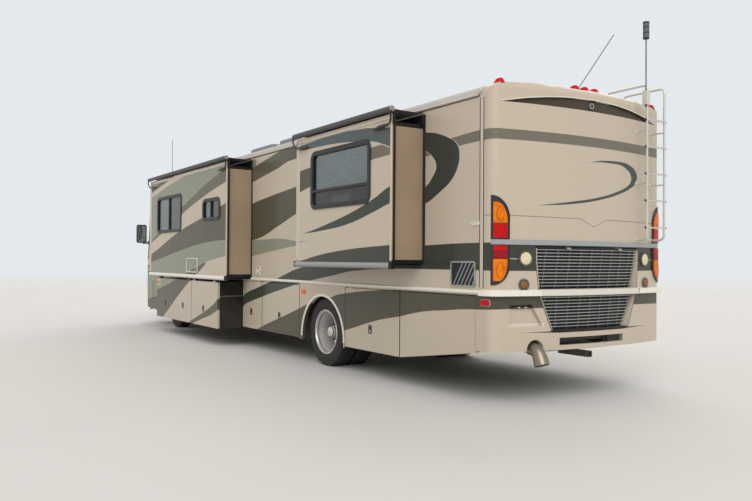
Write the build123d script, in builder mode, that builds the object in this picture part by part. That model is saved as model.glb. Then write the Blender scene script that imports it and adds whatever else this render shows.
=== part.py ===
"""Motorhome: a rear-engined coach with two slide-out rooms on its left side.

Lengths are millimetres. Every piece is modelled about the coach's own datum: X is the station ahead of
a plane that stands REAR_SET_BACK ahead of the body's rear corners, Y is to the left of the centre plane
and Z is the height above the ground. When a piece is written it is placed in the part's frame, whose
origin is on the ground in the middle of the whole outline, with +X to the front.
"""
from build123d import *
from math import cos, pi, radians, sin
import os

os.makedirs("parts", exist_ok=True)

# Body outline
HALF_WIDTH = 1295
WALL = 45
BODY_LENGTH = 11850
FRONT_BOW = 140
REAR_BOW = 160
REAR_SET_BACK = 70
CORNER_RADIUS = 100
ROOF_EDGE_HEIGHT = 3130
ROOF_EDGE_RADIUS = 120
ROOF_CROWN_HEIGHT = 3300
REAR_TOP_RADIUS = 110
BELT_HEIGHT = 1125
SKIRT_HEIGHT = 310
REAR_SKIRT_HEIGHT = 545
REAR_CAP_DEPTH = 80
FRONT_CAP_STATION = 11550
MOVING_GAP = 6
SEAT = 0.3

# Front profile of the body: height, and how far the front corner stands back from BODY_LENGTH
FRONT_PROFILE = [
    (200, 60),
    (700, 0),
    (1400, 0),
    (2850, 190),
    (3400, 560),
]

# Running gear
TYRE_RADIUS = 465
TYRE_WIDTH = 250
RIM_RADIUS = 290
REAR_AXLE_STATION = 3400
FRONT_AXLE_STATION = 10200
REAR_OUTER_TYRE_Y = 1118
DUAL_SPACING = 285
FRONT_TYRE_Y = 1003
KINGPIN_Y = 900
ARCH_RADIUS = 580
ARCH_CENTRE_HEIGHT = 375
RUNNING_FIT = 0.05
SPINDLE_RADIUS = 40
REAR_SPINDLE_RADIUS = 60

# Frame rails
RAIL_Y = 397
RAIL_WIDTH = 70
RAIL_BOTTOM = 560
RAIL_TOP = 800
RAIL_REAR = 0
RAIL_FRONT = 11500
DECK_BOTTOM = 1090
DECK_TOP = 1150

# Slide-out rooms: travel, skin thickness and the outlines of the rooms
SLIDE_REACH = 440
SLIDE_TRAVEL = 385
SLIDE_SKIN = 45
ROOM_WALL = 30
OPENING_GAP = 10
FLANGE = 45
FACE_Y = HALF_WIDTH + SLIDE_REACH
ROOMS = {
    # name: rear station, front station, bottom, top of the outer face
    "front": (5820, 10085, 1109, 3050),
    "rear": (1050, 3335, 1360, 3050),
}
ROLL_RADIUS = 34
ROLLER_RADIUS = 34
ROLLER_Y = FACE_Y + 26
ROLLER_HEIGHT = 3098
ROLLER_OVERHANG = 40

# Bay doors in the skirts: name, rear station, front station
DOOR_GAP = 6
DOOR_TOP = 1095
DOOR_BOTTOM = 330
LEFT_BAYS = [
    ("left_bay_door_1", 170, 1515),
    ("left_bay_door_2", 1530, 2775),
    ("left_bay_door_3", 4095, 5385),
    ("left_bay_door_4", 5397, 6168),
]
RIGHT_BAYS = [
    ("right_bay_door_1", 170, 1515),
    ("right_bay_door_2", 1530, 2775),
    ("right_bay_door_3", 4095, 5385),
    ("right_bay_door_4", 5397, 7485),
    ("right_bay_door_5", 7497, 9560),
]
SLIDE_BAYS = [
    ("slide_bay_door_1", 6200, 7485),
    ("slide_bay_door_2", 7497, 9550),
]
FRONT_BAY = ("left_front_bay_door", 11090, 11520)
HINGE_INSET = 150
HINGE_WIDTH = 50
HINGE_RADIUS = 5
HINGE_OFFSET = 5
HINGE_RISE = 5
SLIDE_DOOR_TOP = 1070
ENTRY_DOOR = (10870, 11520)
ENTRY_HINGE = (10867, -HALF_WIDTH - 8)
ENTRY_HINGE_HEIGHTS = (1300, 1700, 2450)
ENTRY_DOOR_BOTTOM = 560
ENTRY_DOOR_TOP = 2640
REAR_BAY_RISE = 190

# Engine door in the rear cap: height and half width of its outline, from the top down
ENGINE_DOOR = [(1604, 787), (1450, 787), (1130, 752), (735, 582)]
ENGINE_GAP = 9
ENGINE_HINGE_Y = (400, -400)
ENGINE_HINGE_STATION = -240
LIP_HEIGHT = (1106, 1166)
LIP_REACH = 45

# Side windows: rear station, front station, bottom, top
LEFT_WINDOWS = [(10420, 11330, 1950, 2750)]
RIGHT_WINDOWS = [
    (1500, 2700, 2080, 2760),
    (4700, 5400, 2180, 2700),
    (7000, 8900, 2000, 2760),
    (9550, 10500, 1980, 2760),
]
FRONT_ROOM_WINDOWS = [(8100, 9550, 1990, 2665), (6140, 6915, 2130, 2470)]
REAR_ROOM_WINDOWS = [(1505, 2895, 2120, 2818)]
WINDOW_RADIUS = 90
FRAME_WIDTH = 34
FRAME_PROUD = 14
GLASS = 8

EXHAUST_Y = 795
LEFT_MIRROR_REACH, RIGHT_MIRROR_REACH = 1530, 1690
MIRROR_WIDTH = 220
LADDER_Y = (-752, -1053)
LADDER_STATION = -320

TAIL_RADIUS = (HALF_WIDTH**2 + REAR_BOW**2) / (2 * REAR_BOW)
ANTENNA_RADIUS = 34
FRONT_REACH = BODY_LENGTH + FRONT_BOW
REAR_REACH = ANTENNA_RADIUS - LADDER_STATION
FRAME_X = (FRONT_REACH - REAR_REACH) / 2


def write(shape, name):
    """Places a finished piece in the part's frame and writes it as one STEP file."""
    placed = shape.moved(Location((-FRAME_X, 0, 0)))
    placed.label = name
    export_step(placed, f"parts/{name}.step")


def roof_height(y):
    """The roof's height at a distance from the centre plane."""
    shoulder = HALF_WIDTH - ROOF_EDGE_RADIUS
    rise = ROOF_CROWN_HEIGHT - ROOF_EDGE_HEIGHT - ROOF_EDGE_RADIUS
    radius = (shoulder**2 + rise**2) / (2 * rise)
    return ROOF_CROWN_HEIGHT - radius + (radius**2 - y**2) ** 0.5


def tail_station(y):
    """The tail's station at a distance from the centre plane."""
    return TAIL_RADIUS - REAR_BOW - REAR_SET_BACK - (TAIL_RADIUS**2 - y**2) ** 0.5


def tail_rim(inset):
    """What is cut off the rear edge of the roof to round it, a ring about the tail's own centre line."""
    reach, top, radius = TAIL_RADIUS - inset, ROOF_CROWN_HEIGHT - inset, REAR_TOP_RADIUS - inset
    bend = radius * (1 - cos(pi / 4))
    with BuildPart() as rim:
        with BuildSketch(Plane.XZ):
            with BuildLine():
                ThreePointArc((reach - radius, top), (reach - bend, top - bend), (reach, top - radius))
                Polyline((reach, top - radius), (reach + 60, top - radius), (reach + 60, top + 60),
                         (reach - radius, top + 60), (reach - radius, top))
            make_face()
        revolve(axis=Axis.Z)
    with BuildPart() as cut:
        with Locations((TAIL_RADIUS - REAR_BOW - REAR_SET_BACK, 0, 0)):
            add(rim.part)
        box_between((-500, 300), (-HALF_WIDTH - 100, HALF_WIDTH + 100), (top - radius - 1, top + 80), Mode.INTERSECT)
    return cut.part


def box_between(x, y, z, mode=Mode.ADD):
    """A box between two stations, two sides and two heights."""
    centre = ((x[0] + x[1]) / 2, (y[0] + y[1]) / 2, (z[0] + z[1]) / 2)
    with Locations(centre):
        Box(x[1] - x[0], y[1] - y[0], z[1] - z[0], mode=mode)


def envelope(inset):
    """The body's outer form, drawn in by inset: lofted plan outlines under a crowned roof."""
    side = HALF_WIDTH - inset
    rear = inset - REAR_SET_BACK
    with BuildPart() as form:
        for height, stand_back in FRONT_PROFILE:
            front = BODY_LENGTH - stand_back - inset
            with BuildSketch(Plane.XY.offset(height)):
                with BuildLine():
                    Line((rear, side), (front, side))
                    ThreePointArc((front, side), (front + FRONT_BOW, 0), (front, -side))
                    Line((front, -side), (rear, -side))
                    ThreePointArc((rear, -side), (rear - REAR_BOW, 0), (rear, side))
                make_face()
                fillet(vertices(), CORNER_RADIUS - inset)
        loft(ruled=True)
        radius = ROOF_EDGE_RADIUS - inset
        shoulder = side - radius
        bend = radius * cos(pi / 4)
        with BuildSketch(Plane.YZ.offset(-1000)):
            with BuildLine():
                Polyline((side, ROOF_EDGE_HEIGHT), (side, 0), (-side, 0), (-side, ROOF_EDGE_HEIGHT))
                ThreePointArc(
                    (-side, ROOF_EDGE_HEIGHT),
                    (-shoulder - bend, ROOF_EDGE_HEIGHT + bend),
                    (-shoulder, ROOF_EDGE_HEIGHT + radius),
                )
                ThreePointArc(
                    (-shoulder, ROOF_EDGE_HEIGHT + radius),
                    (0, ROOF_CROWN_HEIGHT - inset),
                    (shoulder, ROOF_EDGE_HEIGHT + radius),
                )
                ThreePointArc(
                    (shoulder, ROOF_EDGE_HEIGHT + radius),
                    (shoulder + bend, ROOF_EDGE_HEIGHT + bend),
                    (side, ROOF_EDGE_HEIGHT),
                )
            make_face()
        extrude(amount=BODY_LENGTH + 3000, mode=Mode.INTERSECT)
        add(tail_rim(inset), mode=Mode.SUBTRACT)
    return form.part


OUTER = envelope(0)
INNER = envelope(WALL)
with BuildPart() as shell_form:
    add(OUTER)
    add(INNER, mode=Mode.SUBTRACT)
SHELL = shell_form.part
ALL_Y = (-HALF_WIDTH - 10, HALF_WIDTH + 10)


def hinge_stations(x0, x1):
    """Where a bay door's two hinges stand along its top edge."""
    return (x0 + HINGE_INSET, x1 - HINGE_INSET)


def top_hinge(station, y, z, side, is_door):
    """Half of a top hinge: the door's barrel and leaf, or the ones beside it on the fixed edge."""
    x = (station - HINGE_WIDTH, station) if is_door else (station + SEAT, station + HINGE_WIDTH)
    leaf_z = (z - 22, z) if is_door else (z, z + 14)
    with Locations((sum(x) / 2, y, z)):
        Cylinder(HINGE_RADIUS, x[1] - x[0], rotation=(0, 90, 0))
    box_between(x, sorted((y, y - side * (HINGE_OFFSET + 2))), leaf_z)


def cut_window(window, grow=0):
    """Cuts a rounded window through whatever wall lies in its way."""
    x0, x1, z0, z1 = window
    with BuildSketch(Plane.XZ) as hole:
        with Locations(((x0 + x1) / 2, (z0 + z1) / 2)):
            RectangleRounded(x1 - x0 + 2 * grow, z1 - z0 + 2 * grow, WINDOW_RADIUS + grow)
    extrude(hole.sketch, amount=2 * FACE_Y, both=True, mode=Mode.SUBTRACT)


def arch_cut(station):
    """Cuts a round wheel arch, open at the bottom."""
    with BuildSketch(Plane.XZ) as arch:
        with Locations((station, ARCH_CENTRE_HEIGHT)):
            Circle(ARCH_RADIUS)
        with Locations((station, ARCH_CENTRE_HEIGHT / 2)):
            Rectangle(2 * ARCH_RADIUS, ARCH_CENTRE_HEIGHT)
    extrude(arch.sketch, amount=2 * FACE_Y, both=True, mode=Mode.SUBTRACT)


def room_opening(name, grow):
    """The box that a slide-out room passes through, grown by a gap."""
    rear, front, bottom, top = ROOMS[name]
    x = (rear + FLANGE - grow, front - FLANGE + grow)
    z = (bottom + FLANGE + 10 - grow, top - FLANGE - 30 + grow)
    return x, z


def side_hinge(height, is_door):
    """Half of the entry door's hinge: the upper barrel on the door or the lower one on the wall."""
    z = (height, height + HINGE_WIDTH) if is_door else (height - HINGE_WIDTH, height - SEAT)
    reach = ENTRY_HINGE[0] + 30 if is_door else ENTRY_HINGE[0] - 30
    with Locations((ENTRY_HINGE[0], ENTRY_HINGE[1], sum(z) / 2)):
        Cylinder(HINGE_RADIUS + 2, z[1] - z[0])
    box_between(sorted((ENTRY_HINGE[0], reach)), (-HALF_WIDTH - 8, -HALF_WIDTH), z)


# Upper walls
with BuildPart() as left_wall:
    add(SHELL)
    box_between((REAR_CAP_DEPTH, FRONT_CAP_STATION), (0, HALF_WIDTH + 5), (BELT_HEIGHT, ROOF_EDGE_HEIGHT), Mode.INTERSECT)
    for window in LEFT_WINDOWS:
        cut_window(window)
    for name in ROOMS:
        opening_x, opening_z = room_opening(name, OPENING_GAP)
        box_between(opening_x, (HALF_WIDTH - 100, HALF_WIDTH + 100), opening_z, Mode.SUBTRACT)
write(left_wall.part, "left_wall")

entry_x = (ENTRY_DOOR[0] - DOOR_GAP, ENTRY_DOOR[1] + DOOR_GAP)
entry_z = (ENTRY_DOOR_BOTTOM - DOOR_GAP, ENTRY_DOOR_TOP + DOOR_GAP)
with BuildPart() as right_wall:
    add(SHELL)
    box_between((REAR_CAP_DEPTH, FRONT_CAP_STATION), (-HALF_WIDTH - 5, 0), (BELT_HEIGHT, ROOF_EDGE_HEIGHT), Mode.INTERSECT)
    for window in RIGHT_WINDOWS:
        cut_window(window)
    box_between(entry_x, (-HALF_WIDTH - 10, 0), entry_z, Mode.SUBTRACT)
    for height in ENTRY_HINGE_HEIGHTS:
        side_hinge(height, False)
write(right_wall.part, "right_wall")

with BuildPart() as roof:
    add(SHELL)
    box_between((REAR_CAP_DEPTH, FRONT_CAP_STATION), ALL_Y, (ROOF_EDGE_HEIGHT, ROOF_CROWN_HEIGHT + 10), Mode.INTERSECT)
write(roof.part, "roof")


def tail_prism(points):
    """A prism through the tail from an outline of sides and heights."""
    with BuildPart() as prism:
        with BuildSketch(Plane.YZ.offset(-500)):
            with BuildLine():
                Polyline(*points, close=True)
            make_face()
        extrude(amount=600)
    return prism.part


def engine_door_prism(gap):
    """The engine door's outline through the tail, grown by a gap."""
    right = [(half_width + gap, height) for height, half_width in ENGINE_DOOR]
    right[0] = (right[0][0], ENGINE_DOOR[0][0] + min(gap, DOOR_GAP))
    right[-1] = (right[-1][0], ENGINE_DOOR[-1][0] - gap)
    return tail_prism(right + [(-y, z) for y, z in reversed(right)])


def between_forms(outer_inset, inner_inset):
    """The layer of the body between two insets."""
    outer_form, inner_form = envelope(outer_inset), envelope(inner_inset)
    with BuildPart() as layer:
        add(outer_form)
        add(inner_form, mode=Mode.SUBTRACT)
    return layer.part


# Rear cap with its lip, the engine door's opening and the notches under it
BROW_DEPTH = 30
BROW_BOTTOM, BROW_TOP, BROW_HALF_WIDTH = 3052, 3172, 1205
PLATE_DEPTH = 34
PLATE_OUTLINE = [(1100, 1018), (842, 1018), (706, 800), (1100, 800)]
WIDE_Y = (-HALF_WIDTH - 60, HALF_WIDTH + 60)
LIP_FORM = between_forms(-LIP_REACH, WALL)
ENGINE_OPENING = engine_door_prism(ENGINE_GAP)
with BuildPart() as brow:
    add(between_forms(-5, BROW_DEPTH))
    with BuildSketch(Plane.YZ.offset(-400)):
        with BuildLine():
            ThreePointArc((-BROW_HALF_WIDTH, BROW_BOTTOM), (0, BROW_TOP), (BROW_HALF_WIDTH, BROW_BOTTOM))
            Line((BROW_HALF_WIDTH, BROW_BOTTOM), (-BROW_HALF_WIDTH, BROW_BOTTOM))
        make_face()
    extrude(amount=600, mode=Mode.INTERSECT)
with BuildPart() as plate_recess:
    add(between_forms(-5, PLATE_DEPTH))
    add(tail_prism(PLATE_OUTLINE), mode=Mode.INTERSECT)
with BuildPart() as lip:
    add(LIP_FORM)
    box_between((-400, REAR_CAP_DEPTH), WIDE_Y, LIP_HEIGHT, Mode.INTERSECT)
with BuildPart() as rear_cap:
    add(SHELL)
    box_between(
        (-400, REAR_CAP_DEPTH),
        ALL_Y,
        (REAR_SKIRT_HEIGHT, ROOF_CROWN_HEIGHT + 10),
        Mode.INTERSECT,
    )
    add(lip.part)
    add(ENGINE_OPENING, mode=Mode.SUBTRACT)
    for y in ENGINE_HINGE_Y:
        with Locations((ENGINE_HINGE_STATION, y + HINGE_WIDTH / 2 + SEAT / 2, ENGINE_DOOR[0][0])):
            Cylinder(HINGE_RADIUS, HINGE_WIDTH - SEAT, rotation=(90, 0, 0))
        leaf_x = (ENGINE_HINGE_STATION, ENGINE_HINGE_STATION + 50)
        box_between(leaf_x, (y + SEAT, y + HINGE_WIDTH), (ENGINE_DOOR[0][0], ENGINE_DOOR[0][0] + 12))
    with Locations((-200, EXHAUST_Y, REAR_SKIRT_HEIGHT + 15)):
        Cylinder(100, 600, rotation=(0, 90, 0), mode=Mode.SUBTRACT)
    box_between((-400, 100), (-488, 488), (592, 670), Mode.SUBTRACT)
    add(brow.part, mode=Mode.SUBTRACT)
    add(plate_recess.part, mode=Mode.SUBTRACT)
write(rear_cap.part, "rear_cap")

# Engine door: the lip's middle, a frame and two banks of louvres
LOUVRE_PITCH = 34
LOUVRE_DEPTH = 30
UPPER_GRILLE = [(750, 1575), (711, 1185)]
LOWER_GRILLE = [(694, 1090), (562, 760)]
DOOR_PRISM = engine_door_prism(0)
GRILLE_PRISM = engine_door_prism(-20)
LOUVRE_LAYER = between_forms(0, LOUVRE_DEPTH)
grille_holes = []
for bank in (UPPER_GRILLE, LOWER_GRILLE):
    grille_holes.append(tail_prism(bank + [(-y, z) for y, z in reversed(bank)]))
with BuildPart() as slats:
    for (_, top), (_, bottom) in (UPPER_GRILLE, LOWER_GRILLE):
        for index in range(int((top - bottom) / LOUVRE_PITCH)):
            height = bottom + (index + 0.6) * LOUVRE_PITCH
            box_between((-400, 50), (-780, 780), (height - 8, height + 8))
    for y in (-560, -280, 0, 280, 560):
        box_between((-400, 50), (y - 8, y + 8), (742, 1588))
with BuildPart() as louvres:
    add(LOUVRE_LAYER)
    add(slats.part, mode=Mode.INTERSECT)
    add(GRILLE_PRISM, mode=Mode.INTERSECT)
with BuildPart() as engine_door:
    add(SHELL)
    add(lip.part)
    add(DOOR_PRISM, mode=Mode.INTERSECT)
    for hole in grille_holes:
        add(hole, mode=Mode.SUBTRACT)
    add(louvres.part)
    for y in ENGINE_HINGE_Y:
        with Locations((ENGINE_HINGE_STATION, y - HINGE_WIDTH / 2, ENGINE_DOOR[0][0])):
            Cylinder(HINGE_RADIUS, HINGE_WIDTH, rotation=(90, 0, 0))
        leaf_x = (ENGINE_HINGE_STATION, ENGINE_HINGE_STATION + 50)
        box_between(leaf_x, (y - HINGE_WIDTH, y), (ENGINE_DOOR[0][0] - 14, ENGINE_DOOR[0][0]))
write(engine_door.part, "engine_door")

# Front cap with the windscreen's opening and the lower grille
SCREEN_BOTTOM, SCREEN_TOP = 1500, 2800
SCREEN_HALF_WIDTH = 1190
SCREEN_POST = 35


def screen_prism(shrink):
    """The two panes' outlines through the front, drawn in by a fit."""
    with BuildPart() as prism:
        with BuildSketch(Plane.YZ.offset(FRONT_CAP_STATION + 20)):
            for side in (-1, 1):
                with Locations((side * (SCREEN_POST + SCREEN_HALF_WIDTH) / 2, (SCREEN_BOTTOM + SCREEN_TOP) / 2)):
                    RectangleRounded(
                        SCREEN_HALF_WIDTH - SCREEN_POST - 2 * shrink,
                        SCREEN_TOP - SCREEN_BOTTOM - 2 * shrink,
                        70 - shrink,
                    )
        extrude(amount=1000)
    return prism.part


SCREEN_OPENING = screen_prism(0)
with BuildPart() as front_cap:
    add(SHELL)
    box_between(
        (FRONT_CAP_STATION, BODY_LENGTH + 400),
        ALL_Y,
        (SKIRT_HEIGHT + 40, ROOF_CROWN_HEIGHT + 10),
        Mode.INTERSECT,
    )
    add(SCREEN_OPENING, mode=Mode.SUBTRACT)
    box_between((FRONT_CAP_STATION + 200, BODY_LENGTH + 400), (-450, 450), (560, 820), Mode.SUBTRACT)
    for side in (-1, 1):
        with Locations((BODY_LENGTH, side * 900, 780)):
            Box(900, 400, 190, mode=Mode.SUBTRACT)
write(front_cap.part, "front_cap")

SCREEN_LAYER = between_forms(12, 12 + GLASS)
SCREEN_PANES = screen_prism(SEAT)
with BuildPart() as windscreen:
    add(SCREEN_LAYER)
    add(SCREEN_PANES, mode=Mode.INTERSECT)


def window_unit(window, y_out, side, wall=WALL, posts=()):
    """A framed pane: a flange on the wall's face, a frame in the opening and glass in the frame."""
    x0, x1, z0, z1 = window
    middle = ((x0 + x1) / 2, (z0 + z1) / 2)
    layers = [
        # inner face, outer face, growth of the outline, whether the middle is open
        (y_out, y_out + side * FRAME_PROUD, 22, True),
        (y_out - side * wall, y_out, -SEAT, True),
        (y_out - side * 20, y_out - side * (20 - GLASS), -SEAT, False),
    ]
    with BuildPart() as unit:
        for y0, y1, grow, is_open in layers:
            with BuildSketch(Plane.XZ.offset(-y0)):
                with Locations(middle):
                    RectangleRounded(x1 - x0 + 2 * grow, z1 - z0 + 2 * grow, WINDOW_RADIUS + grow)
                    if is_open:
                        RectangleRounded(
                            x1 - x0 - 2 * FRAME_WIDTH,
                            z1 - z0 - 2 * FRAME_WIDTH,
                            WINDOW_RADIUS - FRAME_WIDTH,
                            mode=Mode.SUBTRACT,
                        )
            extrude(amount=y0 - y1)
        for kind, at in posts:
            if kind == "upright":
                box_between((at - 16, at + 16), sorted((y_out - side * 30, y_out + side * FRAME_PROUD)), (z0 + 10, z1 - 10))
            else:
                box_between((x0 + 10, x1 - 10), sorted((y_out - side * 30, y_out + side * FRAME_PROUD)), (at - 16, at + 16))
    return unit.part


units = [window_unit(w, HALF_WIDTH, 1, posts=[("upright", (w[0] + w[1]) / 2)]) for w in LEFT_WINDOWS]
units += [window_unit(w, -HALF_WIDTH, -1, posts=[("upright", (w[0] + w[1]) / 2)]) for w in RIGHT_WINDOWS]
write(Compound([windscreen.part] + units), "windows")

# Skirts under the belt, in fixed panels
FIXED_LEFT = [(REAR_CAP_DEPTH, 165), (2780, 4090), (9625, 11085), (11525, FRONT_CAP_STATION)]
FIXED_RIGHT = [(REAR_CAP_DEPTH, 165), (2780, 4090), (9565, 10865), (11525, FRONT_CAP_STATION)]
fixed, arch_panels = [], []
for side, spans in ((1, FIXED_LEFT), (-1, FIXED_RIGHT)):
    for x0, x1 in spans:
        group = fixed
        with BuildPart() as panel:
            add(SHELL)
            y = sorted((side * 900, side * (HALF_WIDTH + 5)))
            bottom = REAR_SKIRT_HEIGHT if x1 < 200 else SKIRT_HEIGHT
            box_between((x0, x1), y, (bottom, BELT_HEIGHT), Mode.INTERSECT)
            for station in (REAR_AXLE_STATION, FRONT_AXLE_STATION):
                if x0 < station < x1:
                    arch_cut(station)
                    group = arch_panels
        group += panel.part.solids()
write(Compound(arch_panels), "arch_panels")
for side, bays in ((1, LEFT_BAYS + [FRONT_BAY]), (-1, RIGHT_BAYS)):
    for name, x0, x1 in bays:
        with BuildPart() as header:
            add(SHELL)
            y = sorted((side * 900, side * (HALF_WIDTH + 5)))
            box_between((x0 - 5, x1 + 5), y, (DOOR_TOP + 10, BELT_HEIGHT), Mode.INTERSECT)
            for station in hinge_stations(x0, x1):
                top_hinge(station, side * (HALF_WIDTH + HINGE_OFFSET), DOOR_TOP + HINGE_RISE, side, False)
        fixed += header.part.solids()
write(Compound(fixed), "skirts")


def bay_door(name, x0, x1, side):
    """A bay door cut from the body's own skin; the rearmost ones rise towards the tail."""
    rise = REAR_BAY_RISE if x0 < 200 else 0
    with BuildPart() as door:
        with BuildSketch(Plane.XZ):
            with BuildLine():
                Polyline(
                    (x0, DOOR_BOTTOM + rise),
                    (x1, DOOR_BOTTOM),
                    (x1, DOOR_TOP),
                    (x0, DOOR_TOP),
                    close=True,
                )
            make_face()
        extrude(amount=-side * 2 * HALF_WIDTH)
        add(SHELL, mode=Mode.INTERSECT)
        for station in hinge_stations(x0, x1):
            top_hinge(station, side * (HALF_WIDTH + HINGE_OFFSET), DOOR_TOP + HINGE_RISE, side, True)
    write(door.part, name)


for name, x0, x1 in LEFT_BAYS + [FRONT_BAY]:
    bay_door(name, x0, x1, 1)
for name, x0, x1 in RIGHT_BAYS:
    bay_door(name, x0, x1, -1)

# Entry door with its window
entry_window = (ENTRY_DOOR[0] + 110, ENTRY_DOOR[1] - 110, 1750, 2480)
entry_pane = window_unit(entry_window, -HALF_WIDTH, -1)
with BuildPart() as entry_door:
    add(SHELL)
    box_between(ENTRY_DOOR, (-HALF_WIDTH - 5, -900), (ENTRY_DOOR_BOTTOM, ENTRY_DOOR_TOP), Mode.INTERSECT)
    cut_window(entry_window)
    add(entry_pane)
    for height in ENTRY_HINGE_HEIGHTS:
        side_hinge(height, True)
write(entry_door.part, "entry_door")

# Storage bays behind the doors: floor, back and two ends
TRAY = 12
trays = []
for side, bays in ((1, LEFT_BAYS), (-1, RIGHT_BAYS)):
    for name, x0, x1 in bays:
        back = 700 if x0 < 200 else 470
        floor = DOOR_BOTTOM + 10 if x0 > 200 else DOOR_BOTTOM + REAR_BAY_RISE + 10
        y = sorted((side * back, side * (HALF_WIDTH - WALL - 10)))
        inner_y = sorted((side * (back + TRAY), side * HALF_WIDTH))
        with BuildPart() as tray:
            box_between((x0 + 5, x1 - 5), y, (floor, DECK_BOTTOM - SEAT))
            box_between((x0 + 5 + TRAY, x1 - 5 - TRAY), inner_y, (floor + TRAY, DECK_BOTTOM + 10), Mode.SUBTRACT)
        trays.append(tray.part)
write(Compound(trays), "storage_bays")

# House floor
with BuildPart() as floor_deck:
    inside = HALF_WIDTH - WALL - SEAT
    box_between((REAR_CAP_DEPTH + 40, FRONT_CAP_STATION - 50), (-inside, inside), (DECK_BOTTOM, DECK_TOP))
    box_between(entry_x, (-HALF_WIDTH, -620), (DECK_BOTTOM - 10, DECK_TOP + 10), Mode.SUBTRACT)
write(floor_deck.part, "floor_deck")


def slide_room(name, windows):
    """A slide-out room: a face with a flange, and the box behind it, open to the inside."""
    rear, front, bottom, top = ROOMS[name]
    box_x, box_z = room_opening(name, 0)
    inner_end = HALF_WIDTH - WALL - 15
    with BuildPart() as room:
        box_between((rear, front), (FACE_Y - SLIDE_SKIN, FACE_Y), (bottom, top))
        box_between(box_x, (inner_end, FACE_Y - SLIDE_SKIN), box_z)
        box_between(
            (box_x[0] + ROOM_WALL, box_x[1] - ROOM_WALL),
            (inner_end - 10, FACE_Y - SLIDE_SKIN),
            (box_z[0] + ROOM_WALL, box_z[1] - ROOM_WALL),
            Mode.SUBTRACT,
        )
        for window in windows:
            cut_window(window)
        with Locations(((rear + front) / 2, FACE_Y, bottom + 38)):
            Cylinder(ROLL_RADIUS, front - rear - 30, rotation=(0, 90, 0))
        for station in (rear + 300, front - 300):
            runner_z = (box_z[0] - OPENING_GAP + SEAT, box_z[0] + 1)
            box_between((station - 40, station + 40), (inner_end, FACE_Y - SLIDE_SKIN), runner_z)
    write(room.part, f"{name}_slide_room")


slide_room("front", FRONT_ROOM_WINDOWS)
slide_room("rear", REAR_ROOM_WINDOWS)
front_units = [
    window_unit(FRONT_ROOM_WINDOWS[0], FACE_Y, 1, SLIDE_SKIN, [("upright", 8800)]),
    window_unit(FRONT_ROOM_WINDOWS[1], FACE_Y, 1, SLIDE_SKIN, [("upright", 6530)]),
]
write(Compound(front_units), "front_slide_windows")
rear_unit = window_unit(REAR_ROOM_WINDOWS[0], FACE_Y, 1, SLIDE_SKIN, [("rail", 2330)])
write(rear_unit, "rear_slide_window")

# Storage bay that travels under the front room
BAY_BACK = 950
with BuildPart() as slide_bay:
    bay_x = (SLIDE_BAYS[0][1] - 3, SLIDE_BAYS[-1][2] + 3)
    bay_z = (SKIRT_HEIGHT, 1078)
    bay_y = (BAY_BACK, FACE_Y - SLIDE_SKIN)
    box_between(bay_x, bay_y, bay_z)
    divider = (SLIDE_BAYS[0][2] + SLIDE_BAYS[1][1]) / 2
    for x0, x1 in ((bay_x[0] + ROOM_WALL, divider - 15), (divider + 15, bay_x[1] - ROOM_WALL)):
        box_between((x0, x1), (BAY_BACK + ROOM_WALL, FACE_Y), (bay_z[0] + ROOM_WALL, bay_z[1] - ROOM_WALL), Mode.SUBTRACT)
    for name, x0, x1 in SLIDE_BAYS:
        for station in hinge_stations(x0, x1):
            hanger_z = (SLIDE_DOOR_TOP + 6, ROOMS["front"][2] - SEAT)
            box_between((station - 60, station + 60), (FACE_Y - SLIDE_SKIN - 20, FACE_Y - 5), hanger_z)
            top_hinge(station, FACE_Y + HINGE_OFFSET, SLIDE_DOOR_TOP + HINGE_RISE, 1, False)
            box_between((station + SEAT, station + HINGE_WIDTH), (FACE_Y - 6, FACE_Y), (hanger_z[0], hanger_z[0] + 13))
write(slide_bay.part, "front_slide_bay")
for name, x0, x1 in SLIDE_BAYS:
    with BuildPart() as door:
        door_y = (FACE_Y - SLIDE_SKIN + MOVING_GAP, FACE_Y)
        box_between((x0, x1), door_y, (SKIRT_HEIGHT - 5, SLIDE_DOOR_TOP))
        for station in hinge_stations(x0, x1):
            top_hinge(station, FACE_Y + HINGE_OFFSET, SLIDE_DOOR_TOP + HINGE_RISE, 1, True)
    write(door.part, name)

# Awning rollers over the rooms, on arms, and their sheets
for name in ROOMS:
    rear, front, bottom, top = ROOMS[name]
    with BuildPart() as roller:
        with Locations(((rear + front) / 2, ROLLER_Y, ROLLER_HEIGHT)):
            Cylinder(ROLLER_RADIUS, front - rear + 2 * ROLLER_OVERHANG, rotation=(0, 90, 0))
        for station in (rear - 30, front + 5):
            box_between((station, station + 25), (FACE_Y, ROLLER_Y + 20), (top - 150, ROLLER_HEIGHT))
        for station in (rear + 20, front - 320):
            box_between((station - 45, station + 345), (FACE_Y, FACE_Y + 22), (top - 150, top - 120))
    write(roller.part, f"{name}_topper_roller")
    with BuildPart() as sheet:
        box_between((rear, front), (HALF_WIDTH + SEAT, ROLLER_Y - ROLLER_RADIUS - 1), (ROLLER_HEIGHT + 4, ROLLER_HEIGHT + 8))
    write(sheet.part, f"{name}_topper_sheet")

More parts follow.
